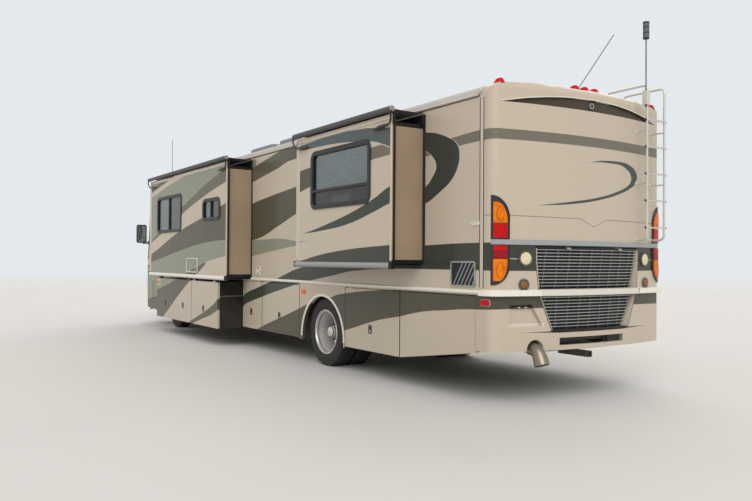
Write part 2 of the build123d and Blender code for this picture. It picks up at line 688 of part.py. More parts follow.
# Chassis frame: rails, crossmembers, jacks and the tow receiver
RECEIVER_HEIGHT = 470
RECEIVER_BORE = 26
SPRING_Y = 560
SPRING_TOP = 700
SPRING_RADIUS = 105
REAR_SPRING_OFFSET = 380
SPRING_STATIONS = (
    REAR_AXLE_STATION - REAR_SPRING_OFFSET,
    REAR_AXLE_STATION + REAR_SPRING_OFFSET,
    FRONT_AXLE_STATION,
)
CROSSMEMBERS = (60, 1500, 2500, 4600, 6200, 7800, 9600, 11400)
rail_web = RAIL_Y + RAIL_WIDTH / 2 - 10
rail_inner = RAIL_Y - RAIL_WIDTH / 2 - SEAT
members = []
for side in (-1, 1):
    inner_face, outer_face = side * (RAIL_Y - RAIL_WIDTH / 2), side * (RAIL_Y + RAIL_WIDTH / 2)
    web_face = side * (RAIL_Y + RAIL_WIDTH / 2 - 10)
    layers = [
        # inner edge, outer edge, bottom, top of the rail's web and its two flanges
        (web_face, outer_face, RAIL_BOTTOM + 12, RAIL_TOP - 12),
        (inner_face, outer_face, RAIL_BOTTOM, RAIL_BOTTOM + 12),
        (inner_face, outer_face, RAIL_TOP - 12, RAIL_TOP),
    ]
    for y0, y1, z0, z1 in layers:
        with BuildPart() as member:
            box_between((RAIL_REAR, RAIL_FRONT), sorted((y0, y1)), (z0, z1))
        members.append(member.part)
    for station in SPRING_STATIONS:
        with BuildPart() as member:
            seat_y = sorted((outer_face, side * (SPRING_Y + 70)))
            box_between((station - 50, station + 50), seat_y, (SPRING_TOP, RAIL_TOP - 30))
        members.append(member.part)
    for station in (2150, 8600):
        with BuildPart() as member:
            box_between((station - 40, station + 40), sorted((outer_face, side * 468)), (600, 700))
        members.append(member.part)
for station in CROSSMEMBERS:
    with BuildPart() as member:
        box_between((station - 40, station + 40), (-rail_web, rail_web), (600, 760))
    members.append(member.part)
    for side in (-1, 1) if station > 1500 else ():
        post_y = sorted((side * (RAIL_Y - RAIL_WIDTH / 2), side * (RAIL_Y + RAIL_WIDTH / 2)))
        with BuildPart() as member:
            box_between((station - 40, station + 40), post_y, (RAIL_TOP, DECK_BOTTOM - SEAT))
        members.append(member.part)
with BuildPart() as member:
    box_between((20, 100), (-RAIL_Y - 30, RAIL_Y + 30), (RECEIVER_HEIGHT + 32, RAIL_BOTTOM))
members.append(member.part)
with BuildPart() as member:
    box_between((-180, 250), (-32, 32), (RECEIVER_HEIGHT - 32, RECEIVER_HEIGHT + 32))
    box_between((-190, 200), (-RECEIVER_BORE, RECEIVER_BORE), (RECEIVER_HEIGHT - RECEIVER_BORE, RECEIVER_HEIGHT + RECEIVER_BORE), Mode.SUBTRACT)
    with Locations((-120, 0, RECEIVER_HEIGHT)):
        Cylinder(8, 100, rotation=(90, 0, 0), mode=Mode.SUBTRACT)
members.append(member.part)
write(Compound(members), "chassis_frame")

with BuildPart() as engine:
    box_between((250, 1400), (-rail_inner, rail_inner), (480, 1040))
write(engine.part, "engine")
with BuildPart() as radiator:
    box_between((0, 100), (-700, 700), (RAIL_TOP + SEAT, 1560))
write(radiator.part, "radiator")
with BuildPart() as fuel_tank:
    box_between((8000, 9500), (-rail_inner, rail_inner), (400, 780))
    fillet(fuel_tank.part.edges().filter_by(Axis.X), 50)
write(fuel_tank.part, "fuel_tank")
with BuildPart() as exhaust:
    with BuildLine() as route:
        FilletPolyline(
            (1300, 535, 600),
            (250, 535, 600),
            (-20, EXHAUST_Y, 575),
            (-185, EXHAUST_Y, 558),
            (-248, EXHAUST_Y, 425),
            radius=60,
        )
    with BuildSketch(Plane(origin=route.line @ 0, z_dir=route.line % 0)):
        Circle(55)
    sweep(path=route.line)
    for station in (420, 1150):
        box_between((station - 25, station + 25), (RAIL_Y + RAIL_WIDTH / 2 + SEAT, 535), (588, 612))
write(exhaust.part, "exhaust")

# Axles with their air springs
SPRING_SEAT = 425
with BuildPart() as rear_axle:
    with Locations((REAR_AXLE_STATION, 0, TYRE_RADIUS)):
        Cylinder(75, 1380, rotation=(90, 0, 0))
        Cylinder(REAR_SPINDLE_RADIUS, 2160, rotation=(90, 0, 0))
        Sphere(190)
    with Locations(((1400 + REAR_AXLE_STATION) / 2, 0, TYRE_RADIUS + 60)):
        Cylinder(45, REAR_AXLE_STATION - 1400 - 2, rotation=(0, 90, 0))
    for side in (-1, 1):
        beam_x = (REAR_AXLE_STATION - REAR_SPRING_OFFSET - 60, REAR_AXLE_STATION + REAR_SPRING_OFFSET + 60)
        box_between(beam_x, sorted((side * (SPRING_Y - 45), side * (SPRING_Y + 45))), (SPRING_SEAT - 60, SPRING_SEAT))
        for station in SPRING_STATIONS[:2]:
            with Locations((station, side * SPRING_Y, (SPRING_SEAT + SPRING_TOP) / 2)):
                Cylinder(SPRING_RADIUS, SPRING_TOP - SPRING_SEAT - 2 * SEAT)
write(rear_axle.part, "rear_axle")

with BuildPart() as front_axle:
    box_between((FRONT_AXLE_STATION - 50, FRONT_AXLE_STATION + 50), (-700, 700), (330, 430))
    for side in (-1, 1):
        arm_y = sorted((side * 680, side * KINGPIN_Y))
        box_between((FRONT_AXLE_STATION - 45, FRONT_AXLE_STATION + 45), arm_y, (400, 500))
        with Locations((FRONT_AXLE_STATION, side * KINGPIN_Y, 455)):
            Cylinder(55, 120)
            Cylinder(25 + RUNNING_FIT, 200, mode=Mode.SUBTRACT)
        with Locations((FRONT_AXLE_STATION, side * SPRING_Y, (SPRING_SEAT + SPRING_TOP) / 2)):
            Cylinder(SPRING_RADIUS, SPRING_TOP - SPRING_SEAT - 2 * SEAT)
write(front_axle.part, "front_axle")

for label, side in (("left", 1), ("right", -1)):
    with BuildPart() as knuckle:
        with Locations((FRONT_AXLE_STATION, side * KINGPIN_Y, 455)):
            Cylinder(25, 190)
        for z in (372, 522):
            with Locations((FRONT_AXLE_STATION, side * KINGPIN_Y, z + 8)):
                Cylinder(55, 16)
        for z0, z1 in ((364, 388), (522, 546)):
            box_between((FRONT_AXLE_STATION - 50, FRONT_AXLE_STATION + 50), sorted((side * KINGPIN_Y, side * (KINGPIN_Y + 80))), (z0, z1))
        box_between((FRONT_AXLE_STATION - 50, FRONT_AXLE_STATION + 50), sorted((side * (KINGPIN_Y + 62), side * (KINGPIN_Y + 82))), (364, 546))
        spindle_end = side * (KINGPIN_Y + 82)
        with Locations((FRONT_AXLE_STATION, side * (KINGPIN_Y + 160), TYRE_RADIUS)):
            Cylinder(SPINDLE_RADIUS, 180, rotation=(90, 0, 0))
    write(knuckle.part, f"{label}_knuckle")


def ring_profile(points):
    """A face from radius and width pairs, in the plane that holds the axle."""
    with BuildLine():
        Polyline(*points, close=True)
    make_face()


def tyre(station, y):
    """A tyre's solid of revolution about the axle."""
    half = TYRE_WIDTH / 2
    with BuildPart() as made:
        with BuildSketch(Plane.YZ.offset(station)):
            with BuildLine():
                Line((y - half + 30, TYRE_RADIUS + RIM_RADIUS + SEAT), (y + half - 30, TYRE_RADIUS + RIM_RADIUS + SEAT))
                ThreePointArc(
                    (y + half - 30, TYRE_RADIUS + RIM_RADIUS + SEAT),
                    (y + half, TYRE_RADIUS + 380),
                    (y + half - 22, 2 * TYRE_RADIUS - 12),
                )
                Line((y + half - 22, 2 * TYRE_RADIUS - 12), (y + half - 40, 2 * TYRE_RADIUS))
                Line((y + half - 40, 2 * TYRE_RADIUS), (y - half + 40, 2 * TYRE_RADIUS))
                Line((y - half + 40, 2 * TYRE_RADIUS), (y - half + 22, 2 * TYRE_RADIUS - 12))
                ThreePointArc(
                    (y - half + 22, 2 * TYRE_RADIUS - 12),
                    (y - half, TYRE_RADIUS + 380),
                    (y - half + 30, TYRE_RADIUS + RIM_RADIUS + SEAT),
                )
            make_face()
        revolve(axis=Axis((station, 0, TYRE_RADIUS), (0, 1, 0)), revolution_arc=360)
    return made.part


def wheel(station, rings):
    """A wheel turned from closed rings of side and radius pairs."""
    with BuildPart() as made:
        for ring in rings:
            with BuildSketch(Plane.YZ.offset(station)):
                with BuildLine():
                    Polyline(*[(y, TYRE_RADIUS + r) for y, r in ring], close=True)
                make_face()
            revolve(axis=Axis((station, 0, TYRE_RADIUS), (0, 1, 0)), revolution_arc=360)
    return made.part


for label, side in (("left", 1), ("right", -1)):
    outer_y = side * REAR_OUTER_TYRE_Y
    inner_y = side * (REAR_OUTER_TYRE_Y - DUAL_SPACING)
    write(Compound([tyre(REAR_AXLE_STATION, outer_y), tyre(REAR_AXLE_STATION, inner_y)]), f"rear_{label}_tyres")
    disc = side * (REAR_OUTER_TYRE_Y - DUAL_SPACING / 2)
    bore = REAR_SPINDLE_RADIUS + RUNNING_FIT
    rings = [
        [(outer_y - 105, RIM_RADIUS - 14), (outer_y + 105, RIM_RADIUS - 14), (outer_y + 105, RIM_RADIUS), (outer_y - 105, RIM_RADIUS)],
        [(inner_y - 105, RIM_RADIUS - 14), (inner_y + 105, RIM_RADIUS - 14), (inner_y + 105, RIM_RADIUS), (inner_y - 105, RIM_RADIUS)],
        [(disc - 45, RIM_RADIUS - 8), (disc + 45, RIM_RADIUS - 8), (disc + 10, 160), (disc - 10, 160)],
        [(disc - 12, bore), (disc + 12, bore), (disc + 12, 200), (disc - 12, 200)],
        [(disc - side * 60, bore), (disc + side * 90, bore), (disc + side * 90, 110), (disc - side * 60, 110)],
        [(disc + side * 110, 0), (disc + side * 140, 0), (disc + side * 140, 90), (disc + side * 85, 100), (disc + side * 85, bore + 4), (disc + side * 110, bore + 4)],
    ]
    write(wheel(REAR_AXLE_STATION, rings), f"rear_{label}_wheel")
    front_y = side * FRONT_TYRE_Y
    write(tyre(FRONT_AXLE_STATION, front_y), f"front_{label}_tyre")
    disc = side * (FRONT_TYRE_Y + 75)
    bore = SPINDLE_RADIUS + RUNNING_FIT
    rings = [
        [(front_y - 105, RIM_RADIUS - 14), (front_y + 105, RIM_RADIUS - 14), (front_y + 105, RIM_RADIUS), (front_y - 105, RIM_RADIUS)],
        [(disc - 14, bore), (disc + 14, bore), (disc + 14, RIM_RADIUS - 5), (disc - 14, RIM_RADIUS - 5)],
        [(disc - side * 40, bore), (disc + side * 60, bore), (disc + side * 60, 100), (disc - side * 40, 100)],
        [(disc + side * 80, 0), (disc + side * 110, 0), (disc + side * 110, 70), (disc + side * 55, 90), (disc + side * 55, bore + 4), (disc + side * 80, bore + 4)],
    ]
    write(wheel(FRONT_AXLE_STATION, rings), f"front_{label}_wheel")

# Lamps on the rear cap: one bezel block a side, following the cap
LAMP_BOTTOM, LAMP_TOP = 1215, 2112
LAMP_INNER, LAMP_OUTER = 1107, 1283
ROUND_LAMPS = [
    # side, height, radius
    (920, 1483, 75),
    (938, 1220, 46),
]
LAMP_LAYER = between_forms(-12, 0)
with BuildPart() as tail_lamps:
    for side in (-1, 1):
        with BuildSketch(Plane.YZ.offset(-400)):
            with BuildLine():
                Line((side * LAMP_OUTER, LAMP_BOTTOM), (side * LAMP_OUTER, LAMP_TOP))
                ThreePointArc(
                    (side * LAMP_OUTER, LAMP_TOP),
                    (side * (LAMP_INNER + 55), LAMP_TOP - 75),
                    (side * LAMP_INNER, LAMP_TOP - 260),
                )
                Line((side * LAMP_INNER, LAMP_TOP - 260), (side * LAMP_INNER, LAMP_BOTTOM + 200))
                ThreePointArc(
                    (side * LAMP_INNER, LAMP_BOTTOM + 200),
                    (side * (LAMP_INNER + 55), LAMP_BOTTOM + 60),
                    (side * LAMP_OUTER, LAMP_BOTTOM),
                )
            make_face()
        extrude(amount=REAR_CAP_DEPTH + 400)
    box_between((-400, 200), ALL_Y, (1618, 1674), Mode.SUBTRACT)
    for side in (-1, 1):
        for y, z, radius in ROUND_LAMPS:
            with Locations((-200, side * y, z)):
                Cylinder(radius, 400, rotation=(0, 90, 0))
    add(LAMP_LAYER, mode=Mode.INTERSECT)

HEAD_LAMP_LAYER = between_forms(6, 40)
with BuildPart() as head_lamps:
    for side in (-1, 1):
        with Locations((BODY_LENGTH, side * 900, 780)):
            Box(900 - 2 * SEAT, 400 - 2 * SEAT, 190 - 2 * SEAT)
    add(HEAD_LAMP_LAYER, mode=Mode.INTERSECT)
write(Compound([tail_lamps.part, head_lamps.part]), "lamps")

# Belt beads and the band across the tail
BEAD = 18
BAND_LAYER = between_forms(-10, 0)
BEADS = [
    # side, rear station, front station
    (1, REAR_CAP_DEPTH, 5810),
    (1, 10100, FRONT_CAP_STATION),
    (-1, REAR_CAP_DEPTH, ENTRY_DOOR[0] - 15),
]
ARCH_TRIM = 36
ARCH_PROUD = 7
strips = []
for side in (1, -1):
    for station in (REAR_AXLE_STATION, FRONT_AXLE_STATION):
        with BuildPart() as arch_trim:
            with BuildSketch(Plane.XZ.offset(-side * HALF_WIDTH)):
                with Locations((station, ARCH_CENTRE_HEIGHT)):
                    Circle(ARCH_RADIUS + ARCH_TRIM)
                    Circle(ARCH_RADIUS, mode=Mode.SUBTRACT)
            extrude(amount=-side * ARCH_PROUD)
            box_between((station - 700, station + 700), ALL_Y, (SKIRT_HEIGHT + 60, 1200), Mode.INTERSECT)
        strips.append(arch_trim.part)
for side, x0, x1 in BEADS:
    with BuildPart() as bead:
        y = sorted((side * HALF_WIDTH, side * (HALF_WIDTH + BEAD)))
        box_between((x0, x1), y, (BELT_HEIGHT - 5, BELT_HEIGHT + 35))
        outer_face = bead.faces().sort_by(Axis.Y)[-1 if side > 0 else 0]
        fillet(outer_face.edges().filter_by(Axis.X), BEAD - 2)
    strips.append(bead.part)
with BuildPart() as band:
    add(BAND_LAYER)
    box_between((-400, REAR_CAP_DEPTH), (-LAMP_OUTER, LAMP_OUTER), (1621, 1671), Mode.INTERSECT)
strips += band.part.solids()
write(Compound(strips), "trim_strips")

# Ladder on the tail: two rails hooked over the roof, five rungs and two pairs of stand-offs
TUBE = 13
LADDER_FOOT, LADDER_HEAD = 1705, 3425
HOOK_STATION = 250
RUNG_HEIGHTS = [1840, 2140, 2440, 2740, 3040]
STAND_OFF_HEIGHTS = [2330, 2920]
with BuildPart() as ladder:
    for y in LADDER_Y:
        skin = tail_station(abs(y) - TUBE) - SEAT
        with BuildLine() as rail:
            FilletPolyline(
                (skin, y, LADDER_FOOT),
                (LADDER_STATION, y, LADDER_FOOT),
                (LADDER_STATION, y, LADDER_HEAD),
                (HOOK_STATION, y, LADDER_HEAD),
                (HOOK_STATION, y, roof_height(abs(y) - TUBE) + SEAT),
                radius=60,
            )
        with BuildSketch(Plane(origin=rail.line @ 0, z_dir=rail.line % 0)):
            Circle(TUBE)
        sweep(path=rail.line)
        for z in STAND_OFF_HEIGHTS:
            with Locations(((LADDER_STATION + skin) / 2, y, z)):
                Cylinder(8, skin - LADDER_STATION, rotation=(0, 90, 0))
    for z in RUNG_HEIGHTS:
        with Locations((LADDER_STATION, sum(LADDER_Y) / 2, z)):
            Box(30, LADDER_Y[0] - LADDER_Y[1] + 2 * TUBE + 24, 14)
write(ladder.part, "ladder")

# Antennas: a booster on a mast over the ladder, and two whips on the roof
MAST_RADIUS = 7
MAST_FOOT = 3200
ANTENNA_HEIGHT = 3935
with BuildPart() as booster:
    mast_y = LADDER_Y[0] + TUBE + MAST_RADIUS + SEAT
    with Locations((LADDER_STATION, mast_y, (MAST_FOOT + ANTENNA_HEIGHT) / 2)):
        Cylinder(MAST_RADIUS, ANTENNA_HEIGHT - MAST_FOOT)
    with Locations((LADDER_STATION, mast_y, ANTENNA_HEIGHT + 95)):
        Cylinder(ANTENNA_RADIUS, 190)
WHIPS = [
    # station, side, tilt about the long axis, length
    (-50, 60, 40, 900),
    (10720, 1080, 0, 800),
]
WHIP_FOOT = 18
aerials = [booster.part]
for station, y, tilt, length in WHIPS:
    with BuildPart() as whip:
        foot = roof_height(abs(y) - WHIP_FOOT) + SEAT
        with Locations((station, y, foot + 15)):
            Cylinder(WHIP_FOOT, 30)
        with Locations(Location((station, y, foot + 20), (tilt, 0, 0))):
            with Locations((0, 0, length / 2)):
                Cylinder(5, length)
    aerials.append(whip.part)
write(Compound(aerials), "antennas")

# Roof units: station, length, width, height
ROOF_UNITS = [
    (7600, 1000, 720, 320),
    (6300, 1000, 720, 330),
    (9400, 420, 420, 120),
    (4700, 500, 500, 120),
    (3100, 420, 420, 120),
    (1500, 420, 420, 120),
]
units = []
for station, length, width, height in ROOF_UNITS:
    with BuildPart() as unit:
        box_between((station - length / 2, station + length / 2), (-width / 2, width / 2), (ROOF_CROWN_HEIGHT + SEAT, ROOF_CROWN_HEIGHT + height))
        fillet(unit.part.edges().filter_by(Axis.Z), 60)
        fillet(unit.part.faces().sort_by(Axis.Z)[-1].edges(), 50)
    units.append(unit.part)
write(Compound(units), "roof_units")

# Mirrors
mirrors = []
for side, reach in ((1, LEFT_MIRROR_REACH), (-1, RIGHT_MIRROR_REACH)):
    with BuildPart() as mirror:
        box_between((11560, 11700), sorted((side * HALF_WIDTH, side * (HALF_WIDTH + 30))), (1780, 1860))
        box_between((11640, 11880), sorted((side * (HALF_WIDTH + 10), side * (HALF_WIDTH + 50))), (1800, 1840))
        box_between((11840, 11880), sorted((side * (HALF_WIDTH + 10), side * (reach - MIRROR_WIDTH + 90))), (1800, 1840))
    with BuildPart() as head:
        box_between((11840, 11930), sorted((side * (reach - MIRROR_WIDTH), side * reach)), (1820, 2240))
        fillet(head.edges().filter_by(Axis.X), 40)
        fillet(head.faces().sort_by(Axis.X)[-1].edges(), 30)
    with BuildPart() as joined:
        add(mirror.part)
        add(head.part)
    mirrors.append(joined.part)
write(Compound(mirrors), "mirrors")

# Cockpit: two seats on pedestals, the dashboard and the steering wheel
STEERING_TILT = -60
STEERING_RADIUS = 220
HUB_CENTRE = (11000, 600, 1720)
with BuildPart() as cockpit:
    for side in (-1, 1):
        y = side * 600
        box_between((10300, 10800), (y - 260, y + 260), (1450, 1580))
        box_between((10250, 10380), (y - 250, y + 250), (1500, 2150))
        box_between((10400, 10700), (y - 150, y + 150), (DECK_TOP + SEAT, 1460))
    box_between((11250, 11490), (-500, 1200), (DECK_TOP + SEAT, 1650))
    with Locations(Location(HUB_CENTRE, (0, STEERING_TILT, 0))):
        with Locations((0, 0, -15 - SEAT - 150)):
            Cylinder(25, 300)
write(cockpit.part, "cockpit")

with BuildPart() as steering_wheel:
    with Locations(Location(HUB_CENTRE, (0, STEERING_TILT, 0))):
        Torus(STEERING_RADIUS, 16)
        Box(40, 2 * STEERING_RADIUS, 14)
        Box(2 * STEERING_RADIUS, 40, 14)
        Cylinder(60, 30)
write(steering_wheel.part, "steering_wheel")

# Step under the entry door and the patio awning over the right side
with BuildPart() as entry_step:
    box_between((10900, 11490), (-1240, -640), (440, 460))
    box_between((10900, 11490), (-660, -640), (440, DECK_BOTTOM - SEAT))
    box_between((10900, 11490), (-660, -590), (DECK_BOTTOM - 25, DECK_BOTTOM - SEAT))
    box_between((10900, 11490), (-950, -640), (760, 780))
write(entry_step.part, "entry_step")
with BuildPart() as patio_awning:
    with Locations((6400, -HALF_WIDTH - 75, 2960)):
        Cylinder(48, 6000, rotation=(0, 90, 0))
    for station in (3420, 9380):
        box_between((station - 30, station + 30), (-HALF_WIDTH - 45, -HALF_WIDTH - SEAT), (1250, 2980))
        box_between((station - 30, station + 30), (-HALF_WIDTH - 80, -HALF_WIDTH - 40), (2900, 2980))
write(patio_awning.part, "patio_awning")
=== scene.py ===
"""Motorhome: paint, glass, lamps, tyres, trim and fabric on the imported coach.

The script is laid out as an add-on. Its operators each make one group of pieces, in metres, in the
coach's own frame: X to the front, Y to the left, Z up, with the ground at Z = 0. Stations are distances
ahead of the coach's datum, and DATUM takes a station to the frame's X.
"""
from math import cos, pi, radians, sin, sqrt, tau

import bmesh
import bpy
from mathutils import Matrix, Vector


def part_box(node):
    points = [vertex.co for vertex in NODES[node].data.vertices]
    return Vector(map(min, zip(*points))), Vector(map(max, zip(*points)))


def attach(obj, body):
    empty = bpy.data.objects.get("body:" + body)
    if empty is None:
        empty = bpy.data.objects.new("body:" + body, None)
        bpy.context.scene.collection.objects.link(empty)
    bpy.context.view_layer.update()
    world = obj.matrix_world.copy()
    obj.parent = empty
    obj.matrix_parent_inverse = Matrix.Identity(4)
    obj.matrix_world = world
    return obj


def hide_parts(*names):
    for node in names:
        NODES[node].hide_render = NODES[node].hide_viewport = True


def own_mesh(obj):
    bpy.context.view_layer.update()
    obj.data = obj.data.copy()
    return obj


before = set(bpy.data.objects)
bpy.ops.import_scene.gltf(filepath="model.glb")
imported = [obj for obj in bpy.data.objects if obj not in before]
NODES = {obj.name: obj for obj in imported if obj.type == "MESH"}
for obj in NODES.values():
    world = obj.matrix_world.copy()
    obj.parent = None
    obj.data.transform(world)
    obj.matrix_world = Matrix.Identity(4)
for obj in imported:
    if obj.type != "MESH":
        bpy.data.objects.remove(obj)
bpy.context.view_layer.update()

bl_info = {
    "name": "Motorhome Dresser",
    "version": (1, 0, 0),
    "blender": (4, 5, 0),
    "location": "3D View > Sidebar > Motorhome",
    "description": "Paints and details a coach motorhome with slide-out rooms",
    "category": "Object",
}

REAR_CAP_DEPTH = 0.08
DATUM = REAR_CAP_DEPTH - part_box("left_wall")[0][0]
TAIL_BOW, SET_BACK = 0.16, 0.07
HALF_WIDTH = 1.295
FACE_Y = 1.735
TAIL_RADIUS = (HALF_WIDTH**2 + TAIL_BOW**2) / (2 * TAIL_BOW)
FRONT_STATION, FRONT_BOW = 11.85, 0.14
FRONT_RADIUS = (HALF_WIDTH**2 + FRONT_BOW**2) / (2 * FRONT_BOW)
# The tail's rounded corner: station and side of its centre, its radius and the side where it starts
CORNER_X, CORNER_Y, CORNER_RADIUS, CORNER_FROM = 0.0786 - SET_BACK, 1.195, 0.1, 1.218
ROOF_TOP, WALL_TOP, ROOF_EDGE = 3.3, 3.13, 0.12
REAR_AXLE, FRONT_AXLE = 3.4 - DATUM, 10.2 - DATUM
TYRE_RADIUS = 0.465
ROLLER_Y, ROLLER_Z = FACE_Y + 0.026, 3.098
ROOMS = {"front": (5.82, 10.085, 1.109), "rear": (1.05, 3.335, 1.36)}
ROOM_TOP = 3.05
LADDER_X, LADDER_Y = -0.32, (-0.752, -1.053)
RUNGS = [1.84, 2.14, 2.44, 2.74, 3.04]
SIDES = (("left", 1), ("right", -1))
# The painted tail lies behind one station, and the front ahead of the other
TAIL_TO, FRONT_FROM = 0.1, 11.6
SEAL_BLACK = (0.012, 0.012, 0.013)
BACKGROUND, BACKGROUND_STRENGTH = (0.82, 0.86, 0.9), 0.95


# Sizes and colours that a user may change
def colour(name, about, value):
    return bpy.props.FloatVectorProperty(
        name=name, description=about, subtype="COLOR", size=3, default=value, min=0, max=1)


class CoachColours(bpy.types.PropertyGroup):
    base: colour("Base paint", "Main colour of the body", (0.53, 0.457, 0.37))
    olive: colour("Olive band", "Wide band that falls from the tail to the front", (0.072, 0.067, 0.042))
    swoosh: colour("Swoosh", "Curved dark band with a round end", (0.04, 0.046, 0.04))
    sage: colour("Sage panels", "Light grey-green fields between the bands", (0.235, 0.255, 0.19))
    # On the belt bead this cream is a painted highlight over the body's tan
    cream: colour("Cream mouldings", "Belt bead, lip and arch trims", (0.79, 0.76, 0.68))
    fabric: colour("Topper fabric", "Awning fabric over the slide-out rooms", (0.03, 0.031, 0.034))


class CoachSizes(bpy.types.PropertyGroup):
    line: bpy.props.FloatProperty(
        name="Stripe edge", description="Softness of a painted edge", default=0.003, min=0.001, max=0.02,
        unit="LENGTH")
    grime: bpy.props.FloatProperty(
        name="Grime", description="Amount of dust and water streaks", default=0.4, min=0, max=1,
        subtype="FACTOR")
    sag: bpy.props.FloatProperty(
        name="Topper sag", description="How far a topper hangs between wall and roller", default=0.008,
        min=0, max=0.03, unit="LENGTH")
    tread: bpy.props.FloatProperty(
        name="Tread depth", description="Depth of the tyre grooves", default=0.011, min=0.002, max=0.02,
        unit="LENGTH")
    lens_mm: bpy.props.FloatProperty(
        name="Camera lens", description="Focal length on a 36 mm sensor", default=36.108, min=10, max=200)


# Shader maths
class Wire:
    """One shader value: arithmetic on it adds Math nodes."""

    def __init__(self, finish, socket):
        self.finish, self.socket = finish, socket

    def math(self, operation, *values, clamp=False):
        return self.finish.node("ShaderNodeMath", {"operation": operation, "use_clamp": clamp}, values)

    def __add__(self, other):
        return self.math("ADD", self, other)

    def __radd__(self, other):
        return self.math("ADD", other, self)

    def __sub__(self, other):
        return self.math("SUBTRACT", self, other)

    def __rsub__(self, other):
        return self.math("SUBTRACT", other, self)

    def __mul__(self, other):
        return self.math("MULTIPLY", self, other)

    def __rmul__(self, other):
        return self.math("MULTIPLY", other, self)

    def __truediv__(self, other):
        return self.math("DIVIDE", self, other)

    def __neg__(self):
        return self.math("MULTIPLY", self, -1.0)

    def __abs__(self):
        return self.math("ABSOLUTE", self)

    def __lt__(self, other):
        return self.math("LESS_THAN", self, other)

    def __gt__(self, other):
        return self.math("GREATER_THAN", self, other)

    def clamped(self):
        return self.math("ADD", self, 0.0, clamp=True)

    def either(self, other):
        return self.math("MAXIMUM", self, other)

    def both(self, other):
        return self.math("MINIMUM", self, other)

    def sine(self):
        return self.math("SINE", self)

    def wave(self, size):
        """A triangle wave from 0 to 1 with the given period."""
        return self.math("PINGPONG", self, size / 2) / (size / 2)

    def within(self, low, high):
        """1 between two values, 0 outside them."""
        return (self > low) * (self < high)


class Finish:
    """A material under construction."""

    def __init__(self, name):
        self.material = bpy.data.materials.new(name)
        self.material.use_nodes = True
        self.tree = self.material.node_tree
        self.shader = self.tree.nodes["Principled BSDF"]

    def node(self, kind, settings=None, values=(), output=0):
        """Adds a node: its settings first, then values or links by socket order or by name."""
        made = self.tree.nodes.new(kind)
        for key, value in (settings or {}).items():
            if key == "line":
                curve = made.mapping.curves[0]
                while len(curve.points) < len(value):
                    curve.points.new(0.5, 0.5)
                for point, (u, v, handle) in zip(curve.points, value):
                    point.location, point.handle_type = (u, v), handle
                made.mapping.use_clip = False
                made.mapping.extend = "HORIZONTAL"
                made.mapping.update()
            else:
                setattr(made, key, value)
        pairs = values.items() if isinstance(values, dict) else enumerate(values)
        for key, value in pairs:
            self.feed(made.inputs[key], value)
        return Wire(self, made.outputs[output])

    def feed(self, socket, value):
        """Links a wire to a socket, or sets a constant on it."""
        if isinstance(value, Wire):
            self.tree.links.new(value.socket, socket)
        elif socket.type == "RGBA" and len(value) == 3:
            socket.default_value = (*value, 1)
        else:
            socket.default_value = value

    def split(self, vector):
        outs = self.node("ShaderNodeSeparateXYZ", values=[vector]).socket.node.outputs
        return tuple(Wire(self, outs[i]) for i in range(3))

    def place(self):
        """Object coordinates as three wires: each node's rest position in the row frame."""
        self.where = self.node("ShaderNodeTexCoord", output="Object")
        return self.split(self.where)

    def facing(self):
        """The object-space normal as three wires."""
        return self.split(self.node("ShaderNodeTexCoord", output="Normal"))

    def noise(self, scale, detail=3.0, rough=0.5, stretch=None):
        where = self.where
        if stretch:
            where = self.node("ShaderNodeVectorMath", {"operation": "MULTIPLY"}, [where, stretch])
        values = {"Vector": where, "Scale": scale, "Detail": detail, "Roughness": rough}
        return self.node("ShaderNodeTexNoise", values=values)

    def line(self, value, points, smooth=True):
        """The height of a line through (station, height) points, read at value."""
        points = sorted(points)
        low, high = points[0][0], points[-1][0]
        heights = [p[1] for p in points]
        bottom, top = min(heights), max(heights)
        span = max(top - bottom, 1e-6)
        handle = "AUTO_CLAMPED" if smooth else "VECTOR"
        stops = [((u - low) / (high - low), (v - bottom) / span, handle) for u, v in points]
        scaled = ((value - low) / (high - low)).clamped()
        return self.node("ShaderNodeFloatCurve", {"line": stops}, {"Value": scaled}) * span + bottom

    def mix(self, mask, under, over):
        """under where mask is 0, over where it is 1."""
        return self.node("ShaderNodeMix", {"data_type": "RGBA"}, {0: mask, 6: under, 7: over}, output=2)

    def bump(self, height, strength, distance):
        values = {"Height": height, "Strength": strength, "Distance": distance}
        return self.node("ShaderNodeBump", values=values)

    def fade(self, mask, glow):
        """Fades the surface into a plain glow where mask is 1."""
        shine = self.node("ShaderNodeEmission", values=[glow])
        mixed = self.node("ShaderNodeMixShader", values=[mask, Wire(self, self.shader.outputs[0]), shine])
        self.feed(self.tree.nodes["Material Output"].inputs[0], mixed)

    def set(self, **inputs):
        """Sets the shader's own sockets, by name with underscores for spaces."""
        for key, value in inputs.items():
            self.feed(self.shader.inputs[key.replace("_", " ")], value)
        return self.material


MATERIALS = {}


def finish(name):
    """A material by name, made once."""
    if name not in MATERIALS:
        MATERIALS[name] = plain(Finish(name), *PLAIN[name]) if name in PLAIN else MAKERS[name](Finish(name))
    return MATERIALS[name]


